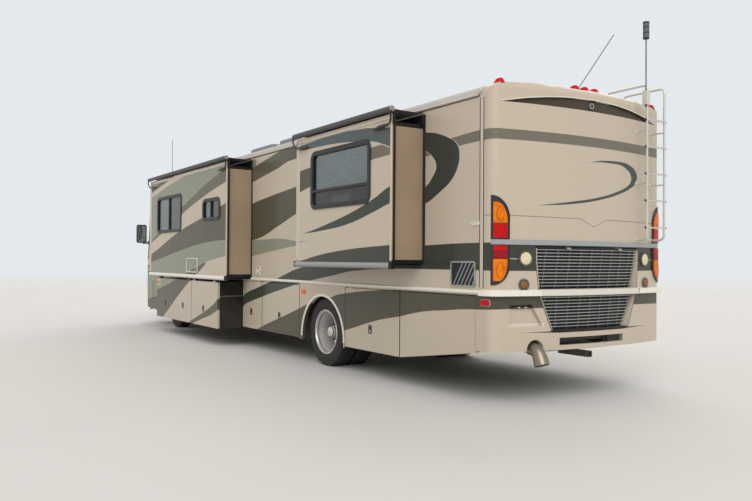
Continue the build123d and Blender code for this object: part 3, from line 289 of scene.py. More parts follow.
# Painted lines on the sides, as (station, height)
OLIVE_TOP = [(-0.3, 2.777), (0.1, 2.78), (0.58, 2.76), (1.45, 2.73), (3.24, 2.63), (4.21, 2.53),
             (5.01, 2.46), (5.83, 2.37), (6.1, 2.33), (6.8, 2.2), (8.05, 2.0), (9.98, 1.55), (11.0, 1.36),
             (12.0, 1.3)]
OLIVE_BOTTOM = [(-0.3, 2.675), (0.1, 2.67), (0.46, 2.66), (1.06, 2.61), (1.45, 2.59), (2.95, 2.4),
                (3.23, 2.35), (4.21, 2.13), (4.9, 1.95), (5.53, 1.8), (5.82, 1.77), (6.79, 1.74),
                (7.87, 1.64), (9.97, 1.39), (11.0, 1.3), (12.0, 1.26)]
SWOOSH_TOP = [(-0.3, 3.0), (1.06, 2.9), (1.57, 2.965), (2.02, 2.99), (2.69, 2.99), (3.34, 2.96), (3.36, 3.2),
              (4.2, 3.2), (4.92, 3.1), (5.75, 2.97), (6.94, 2.72), (8.07, 2.42), (9.41, 2.01), (9.94, 1.84),
              (10.5, 1.66), (12.0, 1.66)]
SWOOSH_INNER = [(-0.3, 2.695), (1.05, 2.695), (1.2, 2.73), (1.42, 2.79), (1.71, 2.83), (2.34, 2.88),
                (3.24, 2.9), (4.22, 2.94), (4.92, 2.85), (5.84, 2.72), (6.81, 2.56), (8.06, 2.29),
                (9.2, 1.98), (9.94, 1.80), (10.5, 1.66), (12.0, 1.66)]
# The swoosh's round end, as (height, station)
NOSE_OUTER = [(1.7, 4.2), (1.79, 3.22), (1.82, 2.67), (1.88, 2.0), (2.0, 1.41), (2.06, 1.17), (2.1, 1.0),
              (2.2, 0.77), (2.3, 0.59), (2.44, 0.47), (2.56, 0.44), (2.7, 0.5), (2.78, 0.65), (2.85, 0.85),
              (2.9, 1.06), (3.2, 1.1)]
NOSE_INNER = [(1.7, 4.2), (1.79, 3.2), (1.93, 2.33), (2.03, 1.85), (2.15, 1.41), (2.24, 1.17), (2.29, 1.01),
              (2.36, 0.92), (2.48, 0.84), (2.61, 0.92), (2.66, 1.0), (2.7, 1.07), (3.2, 1.07)]
SAGE_TOP = [(5.6, 3.11), (5.8, 3.1), (6.8, 3.06), (7.78, 3.0), (9.89, 2.74), (11.2, 2.5), (12.0, 2.3)]
CORNER_STRIPE = [(8.2, 3.1), (8.52, 3.044), (9.89, 2.837), (12.0, 2.5)]
DOOR_EDGES = (1.5225, 2.782, 4.088, 5.391, 6.175, 7.491, 9.556)
FIELD_TOP = [(2.95, 1.695), (3.22, 1.7), (4.2, 1.73), (4.89, 1.78), (5.75, 1.77), (5.82, 1.77), (6.79, 1.74),
             (7.87, 1.64), (9.97, 1.39), (11.0, 1.3), (12.0, 1.26)]
FIELD_BOTTOM = [(2.95, 1.695), (4.2, 1.66), (4.89, 1.6), (5.81, 1.51), (6.43, 1.45), (6.78, 1.4),
                (8.03, 1.14), (9.57, 0.83), (12.0, 0.5)]
WEDGE_BOTTOM = [(6.78, 1.37), (7.2, 1.2), (7.46, 1.11), (9.07, 0.35), (9.6, 0.1)]
DARK_TOP = [(-0.3, 1.64), (0.09, 1.64), (1.41, 1.61), (2.0, 1.58), (2.66, 1.52), (3.21, 1.44), (4.19, 1.32),
            (4.54, 1.24), (5.03, 1.12), (5.4, 1.04), (6.17, 0.84), (6.19, 0.8), (7.63, 0.3), (8.2, 0.1)]
DARK_BOTTOM = [(-0.3, 1.355), (0.09, 1.36), (1.0, 1.36), (2.54, 1.32), (3.09, 1.25), (3.7, 1.17),
               (3.99, 1.13), (4.49, 1.04), (5.4, 0.86), (6.16, 0.67), (6.19, 0.62), (7.37, 0.31), (8.0, 0.1)]
LOW_TOP = [(-0.3, 1.11), (1.51, 1.11), (1.82, 1.1), (2.8, 1.02), (3.01, 0.99), (3.23, 0.93), (3.81, 0.83),
           (4.12, 0.74), (4.77, 0.56), (5.39, 0.39), (5.58, 0.33), (6.2, 0.1)]
LOW_BOTTOM = [(-0.3, 0.99), (0.0, 0.97), (0.4, 0.95), (0.72, 0.92), (0.96, 0.9), (1.29, 0.85), (1.54, 0.8),
              (1.86, 0.75), (2.16, 0.69), (2.52, 0.6), (2.85, 0.52), (3.4, 0.36), (3.9, 0.2), (4.3, 0.05)]
# Painted lines on the tail, as (side, height): the crescent's outside and inside, each top then bottom
CRESCENT = [
    [(-0.77, 2.41), (-0.755, 2.45), (-0.7, 2.5), (-0.639, 2.525), (-0.443, 2.554), (-0.176, 2.546),
     (0.219, 2.5), (0.76, 2.5)],
    [(-0.77, 2.41), (-0.755, 2.37), (-0.717, 2.32), (-0.6, 2.26), (-0.492, 2.22), (-0.156, 2.131),
     (0.325, 2.055), (0.758, 2.024)],
    [(-0.652, 2.387), (-0.64, 2.42), (-0.563, 2.479), (-0.396, 2.522), (-0.176, 2.525), (0.219, 2.5),
     (0.76, 2.5)],
    [(-0.652, 2.387), (-0.645, 2.36), (-0.589, 2.304), (-0.375, 2.22), (-0.053, 2.14), (0.325, 2.081),
     (0.758, 2.026)],
]
# Stations where the sage field, the corner stripe, the lower field and the wedge begin
SAGE_FROM, STRIPE_FROM, FIELD_FROM, WEDGE_FROM = 5.68, 8.2, 2.96, 6.78
# The swoosh's lowest height and rearmost station, and where its coachline ends
SWOOSH_LOW, SWOOSH_REAR, COACHLINE_TO = 1.66, 0.3, 3.35
BETWEEN_ROOMS, ROOM_DROP = 4.5, ROOMS["rear"][2] - ROOMS["front"][2]
BROW_BOTTOM = 3.0525
BROW_TOP = [(0.0, 3.172), (0.4, 3.159), (0.8, 3.1196), (1.205, 3.052)]
SEAM = [(-1.3, 1.898), (-0.222, 1.906), (-0.2, 1.906), (0.005, 1.824), (0.207, 1.906), (0.23, 1.906),
        (1.3, 1.914)]
# Lower edge of the painted shadow under the tail's crease, as (side, height)
CREASE_SHADOW_EDGE = [(0.0, 0.722), (0.49, 0.722), (0.96, 0.741)]


def lived_in(f, under, z, amount):
    """Dust low on the body and faint streaks down it."""
    low = (1 - z / 1.0).clamped()
    patch = f.noise(2.2, 4.0)
    streak = f.noise(1.0, 3.0, 0.6, (7.0, 7.0, 0.3))
    under = f.mix((low * (patch * 1.4) * amount * 0.4).clamped(), under, (0.3, 0.26, 0.2))
    return f.mix(((streak - 0.54) * 2.0 * amount * 0.22).clamped(), under, (0.25, 0.22, 0.19))


def soft(distance, grow=0.0):
    """1 where a signed distance is above zero, with the painted edge's softness."""
    edge = 1 / bpy.context.scene.coach_sizes.line
    return (distance * edge + (0.5 + grow * edge)).clamped()


def band(f, station, z, top, bottom):
    """1 between two painted lines."""
    return soft((f.line(station, top) - z).both(z - f.line(station, bottom)))


def upper_bands(f, paint, station, z, colours):
    """Above the belt: the sage fields, the front's corner stripe, the olive band and its wedge."""
    olive, sage = tuple(colours.olive), tuple(colours.sage)
    field = soft((f.line(station, SAGE_TOP) - z).both(z - f.line(station, SWOOSH_TOP, False)))
    paint = f.mix(field * (station > SAGE_FROM), paint, sage)
    over_stripe = z - f.line(station, CORNER_STRIPE)
    stripe = f.mix(soft(over_stripe - 0.079), olive, sage)
    paint = f.mix(soft(over_stripe) * (station > STRIPE_FROM), paint, stripe)
    # The olive band turns lighter towards the tail
    towards_tail, lighter_olive = (1 - (station - 0.9) / 2.2).clamped(), (0.168, 0.148, 0.116)
    tone = f.mix(towards_tail, olive, lighter_olive)
    paint = f.mix(band(f, station, z, OLIVE_TOP, OLIVE_BOTTOM), paint, tone)
    towards_front, warm_grey = ((station - 3.0) / 3.0).clamped(), (0.25, 0.235, 0.175)
    tone = f.mix(towards_front, warm_grey, sage)
    paint = f.mix(band(f, station, z, FIELD_TOP, FIELD_BOTTOM) * (station > FIELD_FROM), paint, tone)
    return f.mix(band(f, station, z, FIELD_BOTTOM, WEDGE_BOTTOM) * (station > WEDGE_FROM), paint, olive)


def swoosh_band(f, paint, station, y, z, colours):
    """The curved dark band with its round end, in a light coachline."""
    around_it = (f.line(station, SWOOSH_TOP, False) - z).both(station - f.line(z, NOSE_OUTER))
    inside_it = (f.line(station, SWOOSH_INNER) - z).both(station - f.line(z, NOSE_INNER))
    swoosh = around_it.both(-inside_it)
    over = (z > SWOOSH_LOW) * (station > SWOOSH_REAR)
    coachline = soft(swoosh, 0.011) * over * (station < COACHLINE_TO)
    paint = f.mix(coachline, paint, (0.56, 0.48, 0.4))
    # On a room's face the swoosh turns blue-grey above 2.35 m: a painted reflection of the sky
    room_swoosh_painted_sky = f.mix(((z - 2.35) * 4).clamped(), (0.034, 0.047, 0.035), (0.07, 0.095, 0.1))
    rear_tone = f.mix((y > 1.6), tuple(colours.swoosh), room_swoosh_painted_sky)
    tone = f.mix(((station - 3.5) / 1.5).clamped(), rear_tone, (0.108, 0.102, 0.072))
    return f.mix(soft(swoosh) * over, paint, tone)


def lower_bands(f, paint, station, z, colours):
    """The dark band along the rear, the lower olive band and the shut lines of the bay doors."""
    tone = f.mix(((station - 5.6) / 0.7).clamped(), (0.042, 0.048, 0.036), tuple(colours.olive))
    paint = f.mix(band(f, station, z, DARK_TOP, DARK_BOTTOM), paint, tone)
    paint = f.mix(band(f, station, z, LOW_TOP, LOW_BOTTOM), paint, (0.074, 0.066, 0.044))
    edges = abs(station - DOOR_EDGES[0])
    for at in DOOR_EDGES[1:]:
        edges = edges.both(abs(station - at))
    shut_lines, shadow = (edges < 0.008) * z.within(0.3, 1.1), (0.03, 0.027, 0.022)
    return f.mix(shut_lines, paint, shadow)


def tail_lines(f, paint, station, y, z, colours):
    """The tail's own lines: crescent, brow, seam, crease, light lines and bumper band, with painted shade and
    highlights at the brow, crease and plate ledge.
    """
    tail, across = (station < TAIL_TO), abs(y)
    outer_top, outer_bottom, inner_top, inner_bottom = [f.line(y, points) for points in CRESCENT]
    outside = soft((outer_top - z).both(z - outer_bottom))
    inside = soft((inner_top - z).both(z - inner_bottom).both(y + 0.652))
    paint = f.mix((outside - inside).clamped() * tail * y.within(-0.77, 0.76), paint, (0.06, 0.074, 0.07))
    brow_top = f.line(across, BROW_TOP)
    brow = tail * (z > BROW_BOTTOM) * (across < 1.205)
    # Painted highlight along the brow's top edge
    paint = f.mix(brow * (brow_top + 0.012 > z), paint, (0.7, 0.65, 0.56))
    # The brow recess: dark brown paint, darkened further with painted shade
    paint = f.mix(brow * (brow_top + 0.001 > z), paint, (0.062, 0.044, 0.03))
    seam = (1 - abs(z - f.line(y, SEAM, False)) / 0.005).clamped()
    # The seam is a dark joint; the crease's dark wedge is painted shadow under its overhanging edge
    crease = z.within(0.7, 0.742) * (z - f.line(across, CREASE_SHADOW_EDGE, False) > 0.0) * (across < 0.96)
    paint = f.mix((seam + crease).clamped() * tail, paint, (0.07, 0.052, 0.038))
    lamp_line = abs(z - 1.48).within(-1, 0.003) * across.within(0.99, 1.11)
    # A light pinstripe between the lamps, and a painted highlight along the crease's edge
    light = lamp_line + z.within(0.743, 0.751) * (across < 0.94)
    paint = f.mix(light * tail, paint, (0.6, 0.56, 0.5))
    paint = f.mix(tail * z.within(1.103, 1.169), paint, tuple(colours.cream))
    # Painted highlight along the plate recess's lower ledge
    plate_ledge_highlight = tail * z.within(0.796, 0.826) * y.within(0.69, 1.105)
    return f.mix(plate_ledge_highlight, paint, (0.66, 0.6, 0.52))


def room_lines(f, paint, station, y, z, ny, colours):
    """A room's end walls, browner between black seals, and the rounded rail under its face."""
    front_room = (station > BETWEEN_ROOMS)
    drop = front_room * ROOM_DROP
    end = (abs(ny) < 0.5)
    paint = f.mix(end, paint, f.mix(f.noise(0.7, 2.0), (0.325, 0.24, 0.16), (0.36, 0.27, 0.185)))
    seals = y.within(1.684, 1.722).either(z > 2.93).either(z < 1.462 - drop)
    paint = f.mix(end * seals, paint, SEAL_BLACK)
    rail = (y > FACE_Y + 0.0012) * (z < 1.44 - drop)
    return f.mix(rail, paint, f.mix(front_room, (0.3, 0.315, 0.32), tuple(colours.cream)))


def coach_paint(f, kind="body"):
    """The body's glossy paint with its bands, read from the station, side and height."""
    colours, sizes = bpy.context.scene.coach_colours, bpy.context.scene.coach_sizes
    x, y, z = f.place()
    nx, ny = f.facing()[:2]
    station = x + DATUM
    paint = f.mix((f.noise(0.7, 2.0) - 0.35).clamped() * 0.12, tuple(colours.base), (0.44, 0.36, 0.27))
    paint = upper_bands(f, paint, station, z, colours)
    paint = swoosh_band(f, paint, station, y, z, colours)
    paint = lower_bands(f, paint, station, z, colours)
    paint = tail_lines(f, paint, station, y, z, colours)
    if kind == "room":
        paint = room_lines(f, paint, station, y, z, ny, colours)
    if kind == "bay":
        lining = f.mix(abs(z - 0.84) < 0.006, SEAL_BLACK, (0.16, 0.14, 0.1))
        paint = f.mix(y < FACE_Y - 0.004, paint, lining)
    if kind == "entry":
        pane, dark_glass = station.within(10.958, 11.432) * z.within(1.728, 2.502), (0.014, 0.017, 0.018)
        paint = f.mix(pane, paint, dark_glass)
    if kind == "body":
        # The windscreen's dark edge wraps round the front corners
        edge = (station > 11.68) * (abs(y) > 1.18) * z.within(1.45, 2.86)
        paint = f.mix(edge, paint, SEAL_BLACK)
    if kind == "strip":
        # Cream on the belt bead is a painted highlight over the body's tan; the tail's band is silver
        paint = f.mix((station < TAIL_TO) * (z > 1.3), tuple(colours.cream), (0.33, 0.345, 0.36))
    paint = lived_in(f, paint, z, sizes.grime)
    if kind not in ("room", "bay"):
        ends = ((station < TAIL_TO) * (nx > 0.6)).either((station > FRONT_FROM) * (nx < -0.6))
        inner_side = ((ny * y) < -0.3).either(ends)
        paint = f.mix(inner_side, paint, f.mix(f.noise(40.0), (0.3, 0.27, 0.22), (0.36, 0.33, 0.28)))
    orange_peel = f.noise(1.6, 1.0) * 0.7 + f.noise(240.0, 1.0) * 0.02
    return f.set(Base_Color=paint, Roughness=0.3 + f.noise(5.0, 3.0) * 0.1, Metallic=0.04, Coat_Weight=0.2,
                 Coat_Roughness=0.1, Specular_IOR_Level=0.2, Normal=f.bump(orange_peel, 0.06, 0.003))


def plain(f, base, second, scale, rough=0.5, metal=0.0, coat=0.0, bump=(0.15, 0.001), stretch=None,
          grime=0.0):
    """A finish of two close colours in a fine grain, with roughness and bump from the same grain."""
    z = f.place()[2]
    grain = f.noise(scale, 4.0, 0.55, stretch)
    broad = f.noise(3.0, 3.0)
    mixed = f.mix(grain, base, second)
    mixed = f.mix((broad - 0.45).clamped() * 0.5, mixed, tuple(v * 0.72 for v in base))
    if grime:
        mixed = lived_in(f, mixed, z, grime)
    roughness = (grain - 0.5) * 0.16 + (broad - 0.5) * 0.12 + rough
    return f.set(Base_Color=mixed, Roughness=roughness, Metallic=metal, Coat_Weight=coat,
                 Normal=f.bump(grain, *bump))


def glass_paint(f, low, high):
    """Tinted panes in dark frames: a pane is told from its frame by how far out it stands."""
    x, y, z = f.place()
    station = x + DATUM
    pane = abs(y).within(low, high).either(station > FRONT_FROM)
    tint = f.mix(f.noise(0.8, 2.0), (0.012, 0.018, 0.018), (0.024, 0.03, 0.029))
    rubber = f.mix(f.noise(60.0), (0.014, 0.017, 0.021), (0.024, 0.028, 0.033))
    # The halves behind a screen are denser
    dense = station.within(8.05, 8.8).either(station.within(6.1, 6.53)).either((station < 3.0) * (z < 2.33))
    rough = (1 - pane) * 0.35 + 0.03 + f.noise(14.0, 4.0) * 0.04
    return f.set(Base_Color=f.mix(pane, rubber, tint), Roughness=rough, Coat_Weight=pane * 0.6,
                 Alpha=1 - pane * (0.62 - dense * 0.34), Specular_IOR_Level=0.3,
                 Normal=f.bump(f.noise(1.2, 1.0), 0.04, 0.003))


def tyre_rubber(f):
    f.place()
    grain, dust = f.noise(260.0, 3.0), f.noise(6.0, 4.0)
    rubber = f.mix(dust * 0.5, (0.016, 0.016, 0.016), (0.06, 0.055, 0.048))
    return f.set(Base_Color=rubber, Roughness=0.7 + dust * 0.2, Normal=f.bump(grain, 0.3, 0.0008))


def wheel_alloy(f):
    """Aluminium wheels: a bright lip, and painted shade and brake dust that grow the deeper they are dished.
    """
    x, y = f.place()[:2]
    grain, dust = f.noise(40.0, 4.0), f.noise(9.0, 3.0)
    deep = ((1.236 - (x > 0.0) * 0.125 - abs(y)) / 0.15).clamped()
    # Painted shade: the colour darkens the deeper the alloy lies in the dish
    metal = f.mix(deep, (0.6, 0.6, 0.58), (0.17, 0.168, 0.155))
    metal = f.mix((dust * deep).clamped() * 0.6, metal, (0.09, 0.075, 0.06))
    return f.set(Base_Color=metal, Roughness=0.2 + grain * 0.16 + deep * 0.2, Metallic=0.75 - deep * 0.3,
                 Normal=f.bump(grain, 0.06, 0.0005))


def topper_cloth(f):
    """Woven acrylic: a fine square weave, faint panel seams and dust."""
    x, y = f.place()[:2]
    weave = (x * 2600.0).sine() * (y * 2600.0).sine()
    dust = f.noise(3.0, 5.0, 0.6)
    cloth = f.mix(dust * 0.5, tuple(bpy.context.scene.coach_colours.fabric), (0.1, 0.098, 0.095))
    seam = (1 - abs((x + 20).wave(2.4) - 0.5) / 0.004).clamped()
    cloth = f.mix(seam * 0.6, cloth, (0.013, 0.013, 0.014))
    return f.set(Base_Color=cloth, Roughness=0.85 + weave * 0.05, Sheen_Weight=0.2,
                 Normal=f.bump(weave + seam * 2, 0.25, 0.0006))


def lens(f, bright, deep, glow=0.1):
    """A moulded lens: fine optics and a brighter bulb area under a hard gloss."""
    y, z = f.place()[1:]
    rib = (y * 900.0).sine() * 0.5 + (z * 520.0).sine() * 0.5
    blotch = ((f.noise(11.0, 1.0) - 0.4) * 4).clamped()
    mixed = f.mix((rib * 0.25 + blotch * 0.6).clamped(), bright, deep)
    return f.set(Base_Color=mixed, Roughness=0.16 + f.noise(30.0) * 0.1, Coat_Weight=0.05,
                 Coat_Roughness=0.05, Specular_IOR_Level=0.18, Emission_Color=mixed,
                 Emission_Strength=glow, Normal=f.bump(rib, 0.1, 0.001))


def seat_cloth(f):
    x, y, z = f.place()
    weave = (x * 1900.0).sine() * (y * 1900.0).sine() * (z * 1900.0 + 1.0).sine()
    fleck = f.noise(260.0, 4.0)
    return f.set(Base_Color=f.mix(fleck, (0.3, 0.26, 0.21), (0.42, 0.37, 0.3)), Roughness=0.9 + weave * 0.05,
                 Sheen_Weight=0.3, Normal=f.bump(weave + fleck * 2, 0.35, 0.001))


def blind_slat(f):
    """Pale aluminium slats: dust along each one and a cooler tone towards the top, and a glow that is a
    painted reflection of the sky.
    """
    z = f.place()[2]
    dust = f.noise(9.0, 4.0)
    slat = f.mix(dust, (0.38, 0.46, 0.48), (0.5, 0.57, 0.58))
    slat = f.mix(((z + 10).wave(0.03) - 0.2).clamped(), slat, (0.3, 0.36, 0.37))
    # The glow is a painted reflection of the sky in the window glass
    return f.set(Base_Color=slat, Roughness=0.5, Emission_Color=slat, Emission_Strength=0.5,
                 Normal=f.bump(dust, 0.2, 0.001))


MAKERS = {
    "coach_paint": coach_paint,
    "room_paint": lambda f: coach_paint(f, "room"),
    "bay_paint": lambda f: coach_paint(f, "bay"),
    "entry_paint": lambda f: coach_paint(f, "entry"),
    "strip_paint": lambda f: coach_paint(f, "strip"),
    "wall_glass": lambda f: glass_paint(f, 1.272, 1.2836),
    "room_glass": lambda f: glass_paint(f, 1.712, 1.7236),
    "tyre_rubber": tyre_rubber,
    "topper_cloth": topper_cloth,
    "wheel_alloy": wheel_alloy,
    "seat_cloth": seat_cloth,
    "blind_slat": blind_slat,
    "amber_lens": lambda f: lens(f, (0.7, 0.18, 0.003), (0.5, 0.09, 0.002), 0.14),
    "red_lens": lambda f: lens(f, (0.52, 0.003, 0.005), (0.36, 0.002, 0.004), 0.06),
    "deep_amber_lens": lambda f: lens(f, (0.5, 0.1, 0.002), (0.4, 0.06, 0.001), 0.1),
    "deep_red_lens": lambda f: lens(f, (0.3, 0.004, 0.01), (0.2, 0.002, 0.006)),
    "clear_lens": lambda f: lens(f, (0.66, 0.6, 0.4), (0.56, 0.5, 0.32)),
    "brown_lens": lambda f: lens(f, (0.24, 0.11, 0.04), (0.15, 0.06, 0.02), 0.05),
    "camera_glass": lambda f: lens(f, (0.01, 0.012, 0.015), (0.02, 0.02, 0.03), 0.0),
}

# Plain finishes: colour, second colour, grain scale, roughness, metal, coat, bump, stretch, grime
PLAIN = {
    "cream_trim": ((0.7, 0.665, 0.585), (0.65, 0.62, 0.545), 80.0, 0.35, 0, 0.3, (0.1, 0.001), None, 0.3),
    "olive_trim": ((0.085, 0.082, 0.062), (0.07, 0.068, 0.05), 80.0, 0.35, 0, 0.2, (0.1, 0.001), None, 0.2),
    "tan_trim": ((0.56, 0.48, 0.4), (0.52, 0.445, 0.37), 80.0, 0.3, 0, 0.4, (0.1, 0.001), None, 0.3),
    "silver_trim": ((0.34, 0.35, 0.355), (0.29, 0.3, 0.305), 120.0, 0.3, 0.4, 0.4, (0.1, 0.001), None, 0.2),
    "bright_tube": ((0.66, 0.65, 0.6), (0.56, 0.55, 0.5), 60.0, 0.3, 0.3, 0.2, (0.06, 0.0006), (1, 1, 0.1)),
    "polished_alloy": ((0.74, 0.74, 0.72), (0.66, 0.66, 0.64), 20.0, 0.1, 0.9, 0, (0.03, 0.0005)),
    # Black rubber for seals, caps and treads, also painted shade in wheel holes, hub gaps and beside the
    # corner strips
    "black_rubber": ((0.012, 0.012, 0.013), (0.02, 0.02, 0.021), 180.0, 0.6),
    "dark_mesh": ((0.006, 0.008, 0.01), (0.014, 0.017, 0.02), 24.0, 0.7, 0, 0, (0.5, 0.002)),
    "gloss_black": ((0.006, 0.006, 0.007), (0.01, 0.01, 0.01), 30.0, 0.34, 0, 0.12, (0.04, 0.0005)),
    "frame_black": ((0.03, 0.029, 0.027), (0.06, 0.05, 0.04), 24.0, 0.6, 0, 0, (0.3, 0.001), None, 0.8),
    "axle_iron": ((0.05, 0.048, 0.045), (0.12, 0.09, 0.06), 16.0, 0.65, 0.4, 0, (0.4, 0.001), None, 0.8),
    "engine_iron": ((0.03, 0.03, 0.028), (0.06, 0.055, 0.048), 22.0, 0.55, 0.2, 0, (0.4, 0.002)),
    "exhaust_steel": ((0.34, 0.3, 0.24), (0.2, 0.15, 0.1), 9.0, 0.3, 0.75, 0, (0.12, 0.0006)),
    "roof_skin": ((0.5, 0.49, 0.46), (0.42, 0.41, 0.385), 12.0, 0.7, 0, 0, (0.15, 0.001), None, 0.6),
    "shroud_plastic": ((0.2, 0.22, 0.235), (0.16, 0.175, 0.19), 45.0, 0.45, 0, 0.1, (0.15, 0.001), None,
                       0.5),
    "white_plastic": ((0.62, 0.61, 0.57), (0.54, 0.53, 0.495), 45.0, 0.42, 0, 0, (0.15, 0.001), None, 0.4),
    "grey_plastic": ((0.08, 0.085, 0.095), (0.12, 0.125, 0.135), 90.0, 0.5),
    "roller_cloth": ((0.085, 0.087, 0.084), (0.06, 0.061, 0.06), 90.0, 0.55, 0, 0, (0.3, 0.001), (0.2, 1, 1),
                     0.3),
    "fuel_tank_black": ((0.02, 0.02, 0.02), (0.05, 0.045, 0.04), 30.0, 0.5, 0, 0, (0.15, 0.001), None, 0.6),
    "radiator_core": ((0.012, 0.012, 0.013), (0.035, 0.035, 0.036), 60.0, 0.5, 0.3, 0, (0.7, 0.003),
                      (1, 12, 0.4)),
    "tray_plastic": ((0.08, 0.078, 0.072), (0.12, 0.115, 0.105), 140.0, 0.75, 0, 0, (0.4, 0.001)),
    "deck_board": ((0.24, 0.16, 0.09), (0.36, 0.25, 0.15), 14.0, 0.42, 0, 0.2, (0.2, 0.001), (0.25, 6, 1)),
    "dash_vinyl": ((0.13, 0.12, 0.105), (0.17, 0.155, 0.135), 320.0, 0.6, 0, 0, (0.4, 0.0008)),
    "wheel_leather": ((0.03, 0.028, 0.026), (0.05, 0.046, 0.042), 420.0, 0.5, 0, 0, (0.5, 0.0008)),
    "grille_slat": ((0.5, 0.51, 0.5), (0.42, 0.425, 0.42), 50.0, 0.3, 0.3, 0.2, (0.1, 0.001), None, 0.3),
    "mirror_glass": ((0.6, 0.62, 0.64), (0.56, 0.58, 0.6), 4.0, 0.05, 0.95, 0, (0.02, 0.0005)),
}

SURFACES = {
    "coach_paint": ["left_wall", "right_wall", "rear_cap", "front_cap", "skirts", "arch_panels",
                    *(f"left_bay_door_{k}" for k in range(1, 5)), "left_front_bay_door",
                    *(f"right_bay_door_{k}" for k in range(1, 6)), "slide_bay_door_1", "slide_bay_door_2"],
    "room_paint": ["front_slide_room", "rear_slide_room"],
    "bay_paint": ["front_slide_bay"],
    "entry_paint": ["entry_door"],
    "strip_paint": ["trim_strips"],
    "gloss_black": ["engine_door", "lamps"],
    "wall_glass": ["windows"],
    "room_glass": ["front_slide_windows", "rear_slide_window"],
    "roof_skin": ["roof"],
    "shroud_plastic": ["roof_units"],
    "white_plastic": ["patio_awning"],
    "roller_cloth": ["front_topper_roller", "rear_topper_roller"],
    "frame_black": ["chassis_frame", "entry_step"],
    "axle_iron": ["front_axle", "rear_axle", "left_knuckle", "right_knuckle"],
    "engine_iron": ["engine"],
    "radiator_core": ["radiator"],
    "fuel_tank_black": ["fuel_tank"],
    "exhaust_steel": ["exhaust"],
    "deck_board": ["floor_deck"],
    "tray_plastic": ["storage_bays"],
    "bright_tube": ["ladder"],
    "grey_plastic": ["antennas", "mirrors"],
    "dash_vinyl": ["cockpit"],
    "wheel_leather": ["steering_wheel"],
    "tyre_rubber": ["front_left_tyre", "front_right_tyre", "rear_left_tyres", "rear_right_tyres"],
    "wheel_alloy": ["front_left_wheel", "front_right_wheel", "rear_left_wheel", "rear_right_wheel"],
    "topper_cloth": ["front_topper_sheet", "rear_topper_sheet"],
}


# Mesh making
def piece(name, mesh, material, body, smooth=35.0, bevel=0.0):
    """Puts a mesh in the scene as one piece that rides on a body."""
    bmesh.ops.recalc_face_normals(mesh, faces=mesh.faces)
    data = bpy.data.meshes.new(name)
    mesh.to_mesh(data)
    mesh.free()
    made = bpy.data.objects.new(name, data)
    bpy.context.scene.collection.objects.link(made)
    for one in [material] if isinstance(material, str) else material:
        data.materials.append(finish(one))
    if bevel:
        rounding = made.modifiers.new("Rounding", "BEVEL")
        rounding.width, rounding.segments, rounding.limit_method = bevel, 2, "ANGLE"
        rounding.angle_limit = radians(40)
    data.shade_smooth()
    data.set_sharp_from_angle(angle=radians(smooth))
    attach(made, body)
    return made


def on_tail(y, z, out=0.0):
    """A point on the bowed tail with its rounded corners, out metres off it."""
    side, away = (1 if y >= 0 else -1), abs(y)
    if away < CORNER_FROM:
        station, middle, radius = TAIL_RADIUS - TAIL_BOW - SET_BACK, 0.0, TAIL_RADIUS
    else:
        station, middle, radius = CORNER_X, CORNER_Y, CORNER_RADIUS
    across, reach = min(1.0, (away - middle) / radius), radius + out
    return Vector((station - DATUM - reach * sqrt(1 - across**2), side * (middle + reach * across), z))


def on_front(y, z, out=0.0):
    """A point on the bowed front."""
    profile = [(0.2, 0.06), (0.7, 0.0), (1.4, 0.0), (2.85, 0.19), (3.4, 0.56)]
    for (z0, back0), (z1, back1) in zip(profile, profile[1:]):
        if z <= z1:
            break
    back = back0 + (back1 - back0) * (z - z0) / (z1 - z0)
    reach = FRONT_RADIUS + out
    across = y / FRONT_RADIUS
    middle = FRONT_STATION - back + FRONT_BOW - FRONT_RADIUS - DATUM
    return Vector((middle + reach * sqrt(1 - across**2), reach * across, z))


def on_side(side, face=HALF_WIDTH):
    """Points on a side wall or a room's face, from station and height."""
    return lambda station, z, out=0.0: Vector((station - DATUM, side * (face + out), z))


ON_LEFT, ON_RIGHT, ON_ROOM = on_side(1), on_side(-1), on_side(1, FACE_Y)


def on_corner(side):
    """Points on a side wall that carry on round the tail's corner."""
    def place(station, z, out=0.0):
        turn = max(0.0, CORNER_X - station) / CORNER_RADIUS
        reach = CORNER_RADIUS + out
        x = max(station, CORNER_X) - DATUM - reach * sin(turn)
        return Vector((x, side * (CORNER_Y + reach * cos(turn)), z))
    return place


def roof_at(y):
    """Height of the crowned roof at a side."""
    shoulder, rise = HALF_WIDTH - ROOF_EDGE, ROOF_TOP - WALL_TOP - ROOF_EDGE
    radius = (shoulder**2 + rise**2) / (2 * rise)
    return ROOF_TOP - radius + sqrt(radius**2 - y * y)


def add_mesh(mesh, other, index=0):
    """Copies one bmesh into another."""
    new = {v: mesh.verts.new(v.co) for v in other.verts}
    for face in other.faces:
        made = mesh.faces.new([new[v] for v in face.verts])
        made.material_index = index
    other.free()


